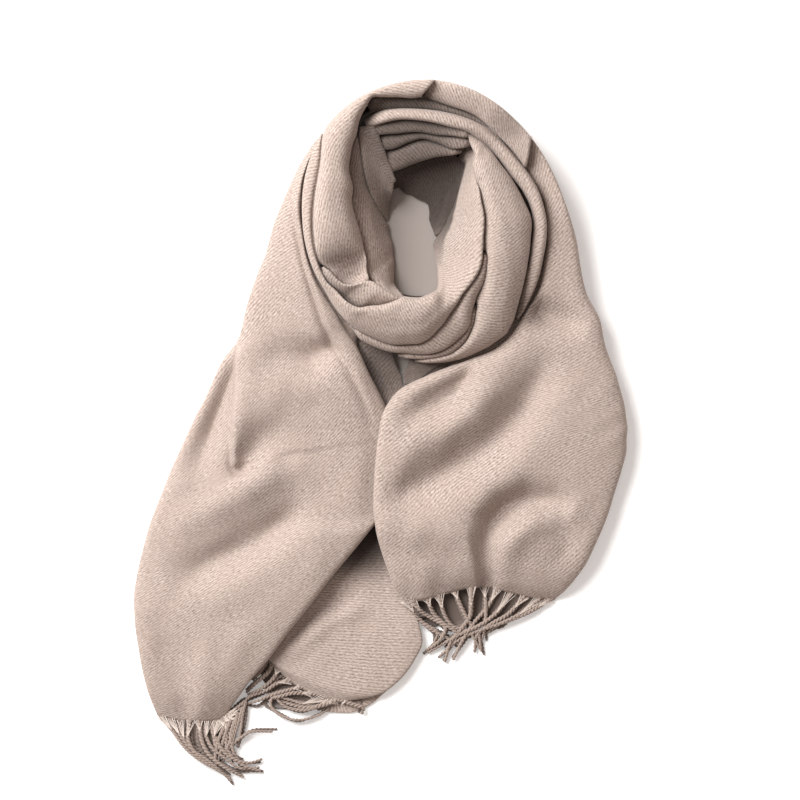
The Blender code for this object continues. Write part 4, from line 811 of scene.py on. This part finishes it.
def brushed_twill(name, slant):
    """Brushed twill whose ridges lie at a slant, in degrees from the cloth's own crosswise line."""
    material = bpy.data.materials.new(name)
    material.use_nodes = True
    tree = material.node_tree
    shader = tree.nodes["Principled BSDF"]
    shader.inputs["Roughness"].default_value = 0.92
    shader.inputs["Specular IOR Level"].default_value = 0.2
    shader.inputs["Sheen Weight"].default_value = 0.25
    shader.inputs["Sheen Roughness"].default_value = 0.5
    shader.inputs["Sheen Tint"].default_value = rgb("#F2E6DF")
    cut = add(tree, "ShaderNodeUVMap", uv_map="cut").outputs["UV"]
    turned = add(tree, "ShaderNodeMapping", {
        "Vector": cut, "Rotation": (0, 0, math.radians(90 - slant))}).outputs["Vector"]
    ridges = add(tree, "ShaderNodeTexWave", {
        "Vector": turned, "Scale": WAVE_SCALE / TWILL_PITCH, "Distortion": 4.5,
        "Detail": 3.0, "Detail Scale": 2.6, "Detail Roughness": 0.7}, bands_direction="X")
    drawn = add(tree, "ShaderNodeMapping", {"Vector": turned, "Scale": (1.0, 0.35, 1.0)})
    nap = add(tree, "ShaderNodeTexNoise", {
        "Vector": drawn.outputs["Vector"], "Scale": 1 / NAP_SIZE, "Detail": 2.0, "Roughness": 0.6})
    clouds = add(tree, "ShaderNodeTexNoise", {
        "Vector": cut, "Scale": 1 / CLOUD_SIZE, "Detail": 3.0, "Roughness": 0.55})
    broken = add(tree, "ShaderNodeMath", {
        0: ridges.outputs["Fac"], 1: 0.3}, operation="MULTIPLY")
    weave = add(tree, "ShaderNodeMath", {
        0: broken.outputs[0], 1: nap.outputs["Fac"]}, operation="ADD").outputs[0]
    tone = add(tree, "ShaderNodeMapRange", {"Value": weave, "From Min": 0.3, "From Max": 1.0})
    patch = add(tree, "ShaderNodeMapRange", {
        "Value": clouds.outputs["Fac"], "From Min": 0.35, "From Max": 0.7, "To Max": 0.35})
    painted_shade = add(tree, "ShaderNodeAttribute", attribute_name="painted_shade")
    yarn = mixed(tree, tone.outputs["Result"], rgb(DEEP_YARN), rgb(LIT_YARN))
    colour = mixed(tree, patch.outputs["Result"], yarn, rgb(WARM_YARN))
    # Painted shade: each point's stored share darkens the colour towards SHADE.
    shaded = mixed(tree, painted_shade.outputs["Fac"], colour, rgb(SHADE))
    tree.links.new(shaded, shader.inputs["Base Color"])
    bump = add(tree, "ShaderNodeBump", {"Height": weave, "Strength": 0.5, "Distance": 0.0006})
    tree.links.new(bump.outputs["Normal"], shader.inputs["Normal"])
    material.diffuse_color = rgb(WARM_YARN)
    return material


TWILL = {
    "loop": brushed_twill("brushed_twill_loop", 36),
    "left_of_loop": brushed_twill("brushed_twill_left_of_loop", 74),
    "right": brushed_twill("brushed_twill_right_end", -44),
    "left": brushed_twill("brushed_twill_left_end", -38),
    "under": brushed_twill("brushed_twill_under_end", 0),
}


# %% Make the stretches of the loop
def dress(piece, node):
    """The piece hangs on the root body in its CAD node's place, and the node is hidden."""
    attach(piece, "root")
    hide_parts(node)
    return piece


LEFT_OF_LOOP = ("left_band", "inner_left", "inner_left_deep")
grids = {}
for number, name in enumerate(BANDS):
    grids[name] = band_grid(name, 10 + number)
    twill = TWILL["left_of_loop" if name in LEFT_OF_LOOP else "loop"]
    piece, cut = cloth_shell("cloth_" + name, grids[name], twill)
    dress(piece, name)
    print(name, "cut", cut, "m")

# %% Make the panels of the two ends
# An edge's tuck along its length: 1 where it runs on under its neighbour, 0 where it is free.
FREE = ((0, 0), (1, 0))
TUCKED = ((0, 1), (1, 1))
LEFT_INNER_EDGE = ((0, 1), (0.36, 1), (0.42, 0), (1, 0))
RIGHT_INNER_EDGE = ((0, 1), (0.52, 1), (0.57, 0), (1, 0))
PANELS = {  # rows, folds, creases, power of the arch, twill, points across, both edges' tucks
    "left_tail": (
        LEFT_TAIL, LEFT_FOLDS, LEFT_CREASES, 4.5, "left", 110, (FREE, LEFT_INNER_EDGE)),
    "right_tail": (
        RIGHT_TAIL, RIGHT_FOLDS, RIGHT_CREASES, 4.5, "right", 110, (RIGHT_INNER_EDGE, FREE)),
    "under_tail": (UNDER_TAIL, UNDER_FOLDS, (), 4.0, "under", 60, (FREE, FREE)),
    "bottom_layer": (BOTTOM_LAYER, (), (), 3.0, "under", 24, (FREE, FREE)),
    "gap_layer_left": (GAP_LEFT, (), (), 3.0, "left", 24, (TUCKED, FREE)),
    "gap_layer_right": (GAP_RIGHT, (), (), 3.0, "left", 24, (FREE, TUCKED)),
}
for number, (name, row) in enumerate(PANELS.items()):
    rows, folds, creases, power, twill, points, tucks = row
    bows = BOWS.get(name, NO_BOW)
    grids[name] = panel_grid(rows, folds, creases, bows, power, 40 + number, points, tucks)
    piece, cut = cloth_shell("cloth_" + name, grids[name], TWILL[twill])
    dress(piece, name)
    print(name, "cut", cut, "m")

# %% [markdown]
# ## The hidden layers
# Under the folds lie plies of the same cloth that nobody sees, except as painted shade in the gaps.
# They share one rounded body each, taken from the imported solid. The creases made above go
# deeper than the solid's smooth top, so each point of the body is lowered to stay below the
# cloth over it. One more ply lies flat near the floor under the whole loop and closes the
# gaps.

# %% Hidden layers
PLY_PAINTED_SHADE = 0.8        # these layers' depth in shade
BELOW_CLOTH = 4.0      # mm that they keep below the cloth over them
NEAR = 7.0             # mm round a point that are searched for that cloth
LOWEST_TOP = 1.0
LOW_PLY = (            # bearing and outer radius
    (0, 126), (40, 138), (90, 146), (115, 142), (130, 128), (145, 112), (170, 102), (220, 102),
    (245, 104), (262, 109), (275, 112), (290, 122), (320, 126), (360, 126))
LOW_PLY_HEIGHT = 5.0
LOW_PLY_RADIUS = 56    # inner radius
LOW_PLY_SINK = 2.0     # its inner edge turns down by this much
sheet_points = np.concatenate([grid.reshape(-1, 3) for grid in grids.values()])
over = KDTree(len(sheet_points))
for k, (x, y, z) in enumerate(sheet_points):
    over.insert((x, y, 0), k)
over.balance()


def lowered(points):
    """Points in mm, none higher than the lowest cloth near it."""
    out = points.copy()
    for k, (x, y, z) in enumerate(points):
        near = [index for _, index, _ in over.find_range((x, y, 0), NEAR)]
        if near:
            lowest = sheet_points[near, 2].min() - BELOW_CLOTH
            out[k, 2] = min(z, max(lowest, LOWEST_TOP))
    return out


def low_ply():
    """A flat ring of cloth under the loop, around the neck."""
    bearing = np.arange(0.0, 360.0, 5.0)
    outer = through_rows(LOW_PLY, bearing)
    turns = np.radians(bearing)
    rings = []
    for share, lift in ((0.0, -LOW_PLY_SINK), (0.1, 0.0), (1.0, 0.0),
                        (1.0, -CLOTH), (0.1, -CLOTH), (0.0, -LOW_PLY_SINK - CLOTH)):
        radius = LOW_PLY_RADIUS + (outer - LOW_PLY_RADIUS) * share
        height = np.full(len(bearing), LOW_PLY_HEIGHT + lift)
        rings.append(np.stack([NECK[0] + radius * np.cos(turns),
                               NECK[1] + radius * np.sin(turns), height], axis=1))
    at = np.arange(len(rings) * len(bearing)).reshape(len(rings), len(bearing))
    next_ring = np.roll(at, -1, axis=0)
    corners = [at, next_ring, np.roll(next_ring, -1, axis=1), np.roll(at, -1, axis=1)]
    return np.concatenate(rings), np.stack(corners, axis=-1).reshape(-1, 4)


for name in ("loop_hidden_layers", "left_tail_hidden_layers", "right_tail_hidden_layers"):
    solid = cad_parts[name].data
    points = lowered(np.array([v.co[:] for v in solid.vertices]) / MM)
    faces = [tuple(p.vertices) for p in solid.polygons]
    if name == "loop_hidden_layers":
        extra, extra_faces = low_ply()
        faces += (extra_faces + len(points)).tolist()
        points = np.concatenate([points, extra])
    # Every hidden ply carries the same painted shade, so the gaps show dark.
    painted_shade = np.full(len(points), PLY_PAINTED_SHADE)
    piece = new_object("plies_" + name, points, faces, painted_shade, [TWILL["loop"]], smooth=False)
    dress(piece, name)

# %% [markdown]
# ## Fringe
# The warp threads are left long at both short ends and twisted into cords of two plies. Each
# cord here is two thin tubes wound round one path. The paths start under the hem, run
# straight out for a little way and then fall together, as they do in the heap on the floor.

# %% Twisted cords
CORD_PITCH = 8.0       # mm for one turn of the plies
CORD_TAPER = 0.6       # how thin a cord is at its tip
PLIES_APART = 0.85     # distance of a ply from the path, for a ply of radius 1


def path_frame(path):
    """Two directions square to a path at each of its points: one level, one upward."""
    heading = np.gradient(path, axis=0)
    heading /= np.maximum(np.linalg.norm(heading, axis=1, keepdims=True), 1e-9)
    side = np.cross(heading, (0.0, 0.0, 1.0))
    side /= np.maximum(np.linalg.norm(side, axis=1, keepdims=True), 1e-6)
    return side, np.cross(side, heading)


def tube(path, radius, painted_shade, sides=6):
    """Points, faces and painted shade of a closed tube; radius is one value or one for each point.
    """
    side, up = path_frame(path)
    turn = 2 * np.pi * np.arange(sides) / sides
    radius = np.broadcast_to(radius, (len(path),))[:, None, None]
    rings = path[:, None] + radius * (side[:, None] * np.cos(turn)[None, :, None]
                                      + up[:, None] * np.sin(turn)[None, :, None])
    points = np.concatenate([rings.reshape(-1, 3), path[[0, -1]]])
    points[:, 2] = np.maximum(points[:, 2], FLOOR)
    at = np.arange(len(path) * sides).reshape(len(path), sides)
    after = np.roll(at, -1, axis=1)
    walls = np.stack([at[:-1], after[:-1], after[1:], at[1:]], axis=-1).reshape(-1, 4)
    end = np.full(sides, at.size)
    caps = np.concatenate([np.stack([end, after[0], at[0]], axis=1),
                           np.stack([end + 1, at[-1], after[-1]], axis=1)])
    return points, walls.tolist() + caps.tolist(), painted_shade


def twisted_cord(path, ply, phase, painted_shade):
    """Two plies wound round a path, as tubes."""
    side, up = path_frame(path)
    run = run_along(path)
    thin = 1 - (1 - CORD_TAPER) * (run / run[-1]) ** 2
    plies = []
    for k in (0, 1):
        turn = 2 * np.pi * run / CORD_PITCH + phase + np.pi * k
        offset = side * np.cos(turn)[:, None] + up * np.sin(turn)[:, None]
        plies.append(tube(path + offset * (ply * PLIES_APART * thin)[:, None], ply * thin, painted_shade))
    return plies


def one_object(name, groups, materials):
    """One object from groups of (points, faces, painted shade), a material for each group."""
    points = []
    faces = []
    painted_shade = []
    slots = []
    size = 0
    for slot, group in enumerate(groups):
        for part, part_faces, part_painted_shade in group:
            points.append(part)
            faces += [[k + size for k in face] for face in part_faces]
            painted_shade += [part_painted_shade] * len(part)
            slots += [slot] * len(part_faces)
            size += len(part)
    piece = new_object(name, np.concatenate(points), faces, painted_shade, materials)
    piece.data.polygons.foreach_set("material_index", slots)
    return piece


# %% [markdown]
# ## Where each cord lies
# Dropped cords do not fan out evenly: they fall together, cross and part again. So each path
# is listed point by point, from its root under the hem to its tip, and each is followed by a second
# cord of the folded ply below, a little aside and lower. At the hem the cord is still
# untwisted: a few pale loose fibres spread from it to a small triangle. Between the roots the
# end of that lower ply shows dark with painted shade, so it lies there as a thin wall.

# %% Paths of the cords
CORD_PATHS = {  # x, y of each point, from the root to the tip
    "fringe_right": (
        ((25, -171), (34, -184), (45, -194), (58, -203), (52, -216)),
        ((28, -172), (38, -188), (50, -199), (68, -207), (80, -216)),
        ((33, -171), (42, -182), (54, -190), (66, -199), (58, -212), (46, -221)),
        ((47, -170), (55, -184), (66, -195), (78, -205), (70, -219)),
        ((60, -169), (66, -188), (73, -197), (86, -200), (96, -212), (100, -220)),
        ((77, -166), (82, -180), (90, -192), (98, -204), (101, -221)),
        ((91, -165), (91, -182), (82, -198), (72, -212), (65, -233)),
        ((104, -164), (107, -182), (105, -198), (101, -212)),
        ((117, -163), (108, -177), (95, -192), (84, -208), (73, -229)),
        ((131, -164), (118, -182), (102, -194), (78, -206), (48, -223)),
        ((145, -166), (128, -184), (110, -196), (96, -206), (94, -222)),
        ((159, -168), (141, -184), (122, -192), (104, -199), (80, -209), (60, -226)),
        ((170, -170), (152, -180), (134, -188), (118, -195), (108, -201)),
    ),
    "fringe_left": (
        ((-219, -285), (-208, -300), (-194, -317), (-175, -333), (-156, -342)),
        ((-210, -287), (-203, -302), (-192, -315), (-178, -327), (-152, -346)),
        ((-200, -288), (-197, -305), (-188, -318), (-172, -330), (-148, -350)),
        ((-190, -288), (-192, -304), (-187, -320), (-168, -335), (-149, -348)),
        ((-181, -288), (-179, -308), (-173, -322), (-158, -335), (-137, -347)),
        ((-173, -286), (-174, -300), (-169, -315), (-156, -328), (-137, -339), (-119, -337)),
        ((-165, -284), (-167, -298), (-163, -312), (-151, -325), (-132, -332), (-118, -329)),
        ((-158, -284), (-166, -303), (-164, -317), (-154, -320), (-142, -309), (-126, -301),
         (-108, -301)),
        ((-150, -278), (-152, -298), (-154, -312), (-148, -326), (-130, -338), (-119, -341)),
        ((-144, -270), (-144, -288), (-148, -305), (-146, -320), (-140, -333)),
        ((-137, -262), (-138, -278), (-142, -295), (-147, -315), (-147, -328)),
        ((-141, -266), (-142, -283), (-146, -300), (-151, -316), (-156, -332)),
        ((-147, -274), (-150, -290), (-156, -306), (-160, -322), (-164, -336)),
        ((-154, -280), (-157, -296), (-162, -310), (-166, -326), (-163, -340)),
        ((-132, -256), (-134, -270), (-138, -286), (-140, -302), (-143, -316)),
    ),
    "fringe_under": (
        ((-82, -240), (-100, -252), (-114, -260), (-130, -267), (-139, -278)),
        ((-93, -232), (-105, -246), (-118, -258), (-132, -265)),
        ((-102, -228), (-112, -240), (-124, -252), (-134, -262)),
        ((-75, -250), (-92, -260), (-108, -264), (-122, -269), (-133, -273)),
        ((-66, -259), (-84, -264), (-100, -267), (-112, -268)),
        ((-110, -226), (-118, -238), (-128, -250)),
        ((-56, -269), (-72, -274), (-90, -270), (-105, -266), (-112, -272), (-104, -282),
         (-83, -290), (-63, -286), (-50, -278)),
        ((-50, -270), (-62, -277), (-78, -281), (-93, -277), (-104, -268), (-112, -262)),
        ((-44, -271), (-58, -274), (-72, -277), (-88, -274), (-100, -270)),
        ((-30, -272), (-22, -275), (-16, -277), (-19, -283)),
    ),
}
CORD_LEVELS = (7.5, 3.2)   # height of the upper and of the lower cord
LOWER_DROP = 2.5           # how far below the hem a lower cord starts
# Painted shade on the lower cords and on the ply below the hem, which lie in the hem's shade.
LOWER_PAINTED_SHADE = 0.42         # how deep in shade the lower cords lie
CORD_POINTS = 46
ROOT_HIDDEN = 4.0          # how far a cord starts inside the hem
FIBRES = 7                 # loose fibres at each root
FIBRE_SPREAD = 5.0
MAT_LENGTH = 25            # points of each path that the ply below the hem reaches
MAT_HEIGHT = 2.0
MAT_PAINTED_SHADE = 0.6


def smooth_path(points, dice, aside, level, root_height):
    """A cord's centre line through its points, lowered from the hem to its level."""
    points = np.array(points, float)
    points[1:] += dice.normal(0, aside, points[1:].shape)
    points[0] += (points[0] - points[1]) / np.linalg.norm(points[0] - points[1]) * ROOT_HIDDEN
    run = run_along(points)
    share = np.linspace(0, 1, CORD_POINTS)
    flat = through_rows(np.column_stack([run, points]), share * run[-1])
    for _ in range(3):
        flat[1:-1] = (flat[:-2] + 2 * flat[1:-1] + flat[2:]) / 4
    height = root_height + (level - root_height) * ease(share * 2.4)
    height += 0.8 * np.sin(share * dice.uniform(5, 9) + dice.uniform(0, 6))
    height *= 1 - 0.45 * ease((share - 0.75) * 4)
    return np.concatenate([flat, height[:, None]], axis=1)


def loose_fibres(path, dice):
    """Pale untwisted fibres from the hem to a cord, as tubes."""
    meet = path[int(dice.integers(8, 13))]
    forward = meet[:2] - path[0, :2]
    forward /= np.linalg.norm(forward)
    across = np.array([-forward[1], forward[0]])
    t = np.linspace(0, 1, 9)[:, None]
    tubes = []
    for k in range(FIBRES):
        offset = FIBRE_SPREAD * (2 * k / (FIBRES - 1) - 1) + dice.normal(0, 0.6)
        start = path[0, :2] + across * offset + forward * (ROOT_HIDDEN - 1.5)
        bend = (start + meet[:2]) / 2 - across * offset * 0.15
        flat = start * (1 - t) ** 2 + bend * 2 * t * (1 - t) + meet[:2] * t**2
        height = path[0, 2] + (meet[2] + 1.2 - path[0, 2]) * t + 1.0
        tubes.append(tube(np.hstack([flat, height]), dice.uniform(0.25, 0.45), 0.0, 4))
    return tubes


def ply_below(paths):
    """A closed thin wall under the roots: the end of the folded end's lower ply, in painted shade.
    """
    order = sorted(paths, key=lambda path: path[0, 0] - 0.3 * path[0, 1])
    grid = np.stack([path[:MAT_LENGTH] for path in order])
    grid[..., 2] = np.linspace(MAT_HEIGHT + 1.5, MAT_HEIGHT, MAT_LENGTH)
    top = grid.reshape(-1, 3)
    faces = wall_faces(len(paths), MAT_LENGTH)
    return np.concatenate([top, top - (0, 0, CLOTH)]), faces.tolist(), MAT_PAINTED_SHADE


# %% Make the fringes
HEM_OF = {"fringe_left": "left_tail", "fringe_right": "right_tail", "fringe_under": "under_tail"}
YARN = brushed_twill("twisted_yarn", 0)
PALE_FIBRE = bpy.data.materials.new("loose_acrylic_fibre")
PALE_FIBRE.use_nodes = True
fibre_shader = PALE_FIBRE.node_tree.nodes["Principled BSDF"]
fibre_shader.inputs["Base Color"].default_value = rgb("#BCAEA4")
fibre_shader.inputs["Roughness"].default_value = 0.75
fibre_shader.inputs["Sheen Weight"].default_value = 0.4

for number, (name, rows) in enumerate(CORD_PATHS.items()):
    dice = np.random.default_rng(90 + number)
    hem = grids[HEM_OF[name]][-1, LEG_POINTS:-LEG_POINTS]
    cords = []
    fibres = []
    upper = []
    for points in rows:
        root = hem[np.argmin(np.hypot(*(hem[:, :2] - points[0]).T))]
        points = (root[:2],) + points[1:]
        for layer, level in enumerate(CORD_LEVELS):
            start = max(root[2] - LOWER_DROP * layer, 1.5)
            path = smooth_path(points, dice, 0.6 + 2.2 * layer, level, start)
            ply = dice.uniform(1.2, 1.55)
            cords += twisted_cord(path, ply, dice.uniform(0, 6), LOWER_PAINTED_SHADE * layer)
            if layer == 0:
                fibres += loose_fibres(path, dice)
                upper.append(path)
    groups = (cords, fibres, [ply_below(upper)])
    piece = one_object("cords_" + name, groups, (YARN, PALE_FIBRE, TWILL["under"]))
    dress(piece, name)

# %% [markdown]
# ## Floor, light and camera
# A white studio floor, one large soft light from the upper left and a bright surround, which
# leave only a faint shadow on the lower right. Round the scarf the floor is blown out to white
# and inside the loop it is grey. So the floor has a faint glow outside, painted light that keeps
# it white and the shadow faint, and a greyer colour inside, painted shade. The camera looks
# straight down from high above, so that tall folds are not drawn outwards.

# %% Floor
CAMERA_HEIGHT = 9.0
FRAME_WIDTH = 0.8
LOOK_AT = (0.020, 0.030)
FLOOR_HALF = 12.0
# Inside the first radius the floor has painted shade, past the second a painted glow.
LOOP_INSIDE = (0.13, 0.15)     # from this radius to this one the floor changes, under the loop
FLOOR_PAINTED_GLOW = 0.25
corners = [(-FLOOR_HALF, -FLOOR_HALF, 0), (FLOOR_HALF, -FLOOR_HALF, 0),
           (FLOOR_HALF, FLOOR_HALF, 0), (-FLOOR_HALF, FLOOR_HALF, 0)]
floor_mesh = bpy.data.meshes.new("studio_floor")
floor_mesh.from_pydata(corners, [], [(0, 1, 2, 3)])
floor = in_scene("studio_floor", floor_mesh)
white = bpy.data.materials.new("white_studio_floor_painted_shade_glow")
white.use_nodes = True
tree = white.node_tree
paper = add(tree, "ShaderNodeTexNoise", {"Scale": 40.0, "Detail": 2.0})
tone = add(tree, "ShaderNodeMapRange", {
    "Value": paper.outputs["Fac"], "To Min": 0.93, "To Max": 1.0})
away = add(tree, "ShaderNodeVectorMath", {
    0: add(tree, "ShaderNodeNewGeometry").outputs["Position"],
    1: (NECK[0] * MM, NECK[1] * MM, 0.0)}, operation="DISTANCE")
outside = {
    "Value": away.outputs["Value"], "From Min": LOOP_INSIDE[0], "From Max": LOOP_INSIDE[1]}
clear_of_painted_shade = add(tree, "ShaderNodeMapRange", outside)
painted_glow = add(tree, "ShaderNodeMapRange", outside | {"To Max": FLOOR_PAINTED_GLOW})
# Painted shade: grey inside the loop. Painted light: the glow outside, which keeps the shadow
# faint.
base = mixed(tree, clear_of_painted_shade.outputs["Result"], rgb("#938A84"), rgb("#F0EFEE"))
speckled = mixed(tree, 1.0, base, tone.outputs["Result"], blend_type="MULTIPLY")
floor_shader = tree.nodes["Principled BSDF"]
tree.links.new(speckled, floor_shader.inputs["Base Color"])
tree.links.new(painted_glow.outputs["Result"], floor_shader.inputs["Emission Strength"])
floor_shader.inputs["Emission Color"].default_value = (1.0, 1.0, 1.0, 1.0)
floor_shader.inputs["Roughness"].default_value = 0.8
floor_mesh.materials.append(white)

# %% Light
softbox = bpy.data.lights.new("softbox_upper_left", "AREA")
softbox.shape = "DISK"
softbox.size = 2.4
softbox.energy = 245.0
softbox.color = (0.97, 0.985, 1.0)
softbox_at = Vector((-1.85, 1.6, 2.3))
softbox_aim = Vector((0.0, 0.05, 0.0))
lamp = in_scene("softbox_upper_left", softbox)
lamp.location = softbox_at
lamp.rotation_mode = "QUATERNION"
lamp.rotation_quaternion = (softbox_aim - softbox_at).to_track_quat("-Z", "Y")
world = bpy.data.worlds.new("studio_surround")
world.use_nodes = True
world.node_tree.nodes["Background"].inputs["Color"].default_value = rgb("#FFF3EC")
world.node_tree.nodes["Background"].inputs["Strength"].default_value = 0.5
bpy.context.scene.world = world
bpy.context.scene.view_settings.view_transform = "Standard"

# %% Camera
camera_data = bpy.data.cameras.new("overhead_camera")
camera_data.sensor_width = 36.0
camera_data.lens = camera_data.sensor_width * CAMERA_HEIGHT / FRAME_WIDTH
camera_data.clip_end = 100.0
camera = in_scene("overhead_camera", camera_data)
camera.location = (LOOK_AT[0], LOOK_AT[1], CAMERA_HEIGHT)
bpy.context.scene.camera = camera

# %% The end of the script
bpy.context.view_layer.update()
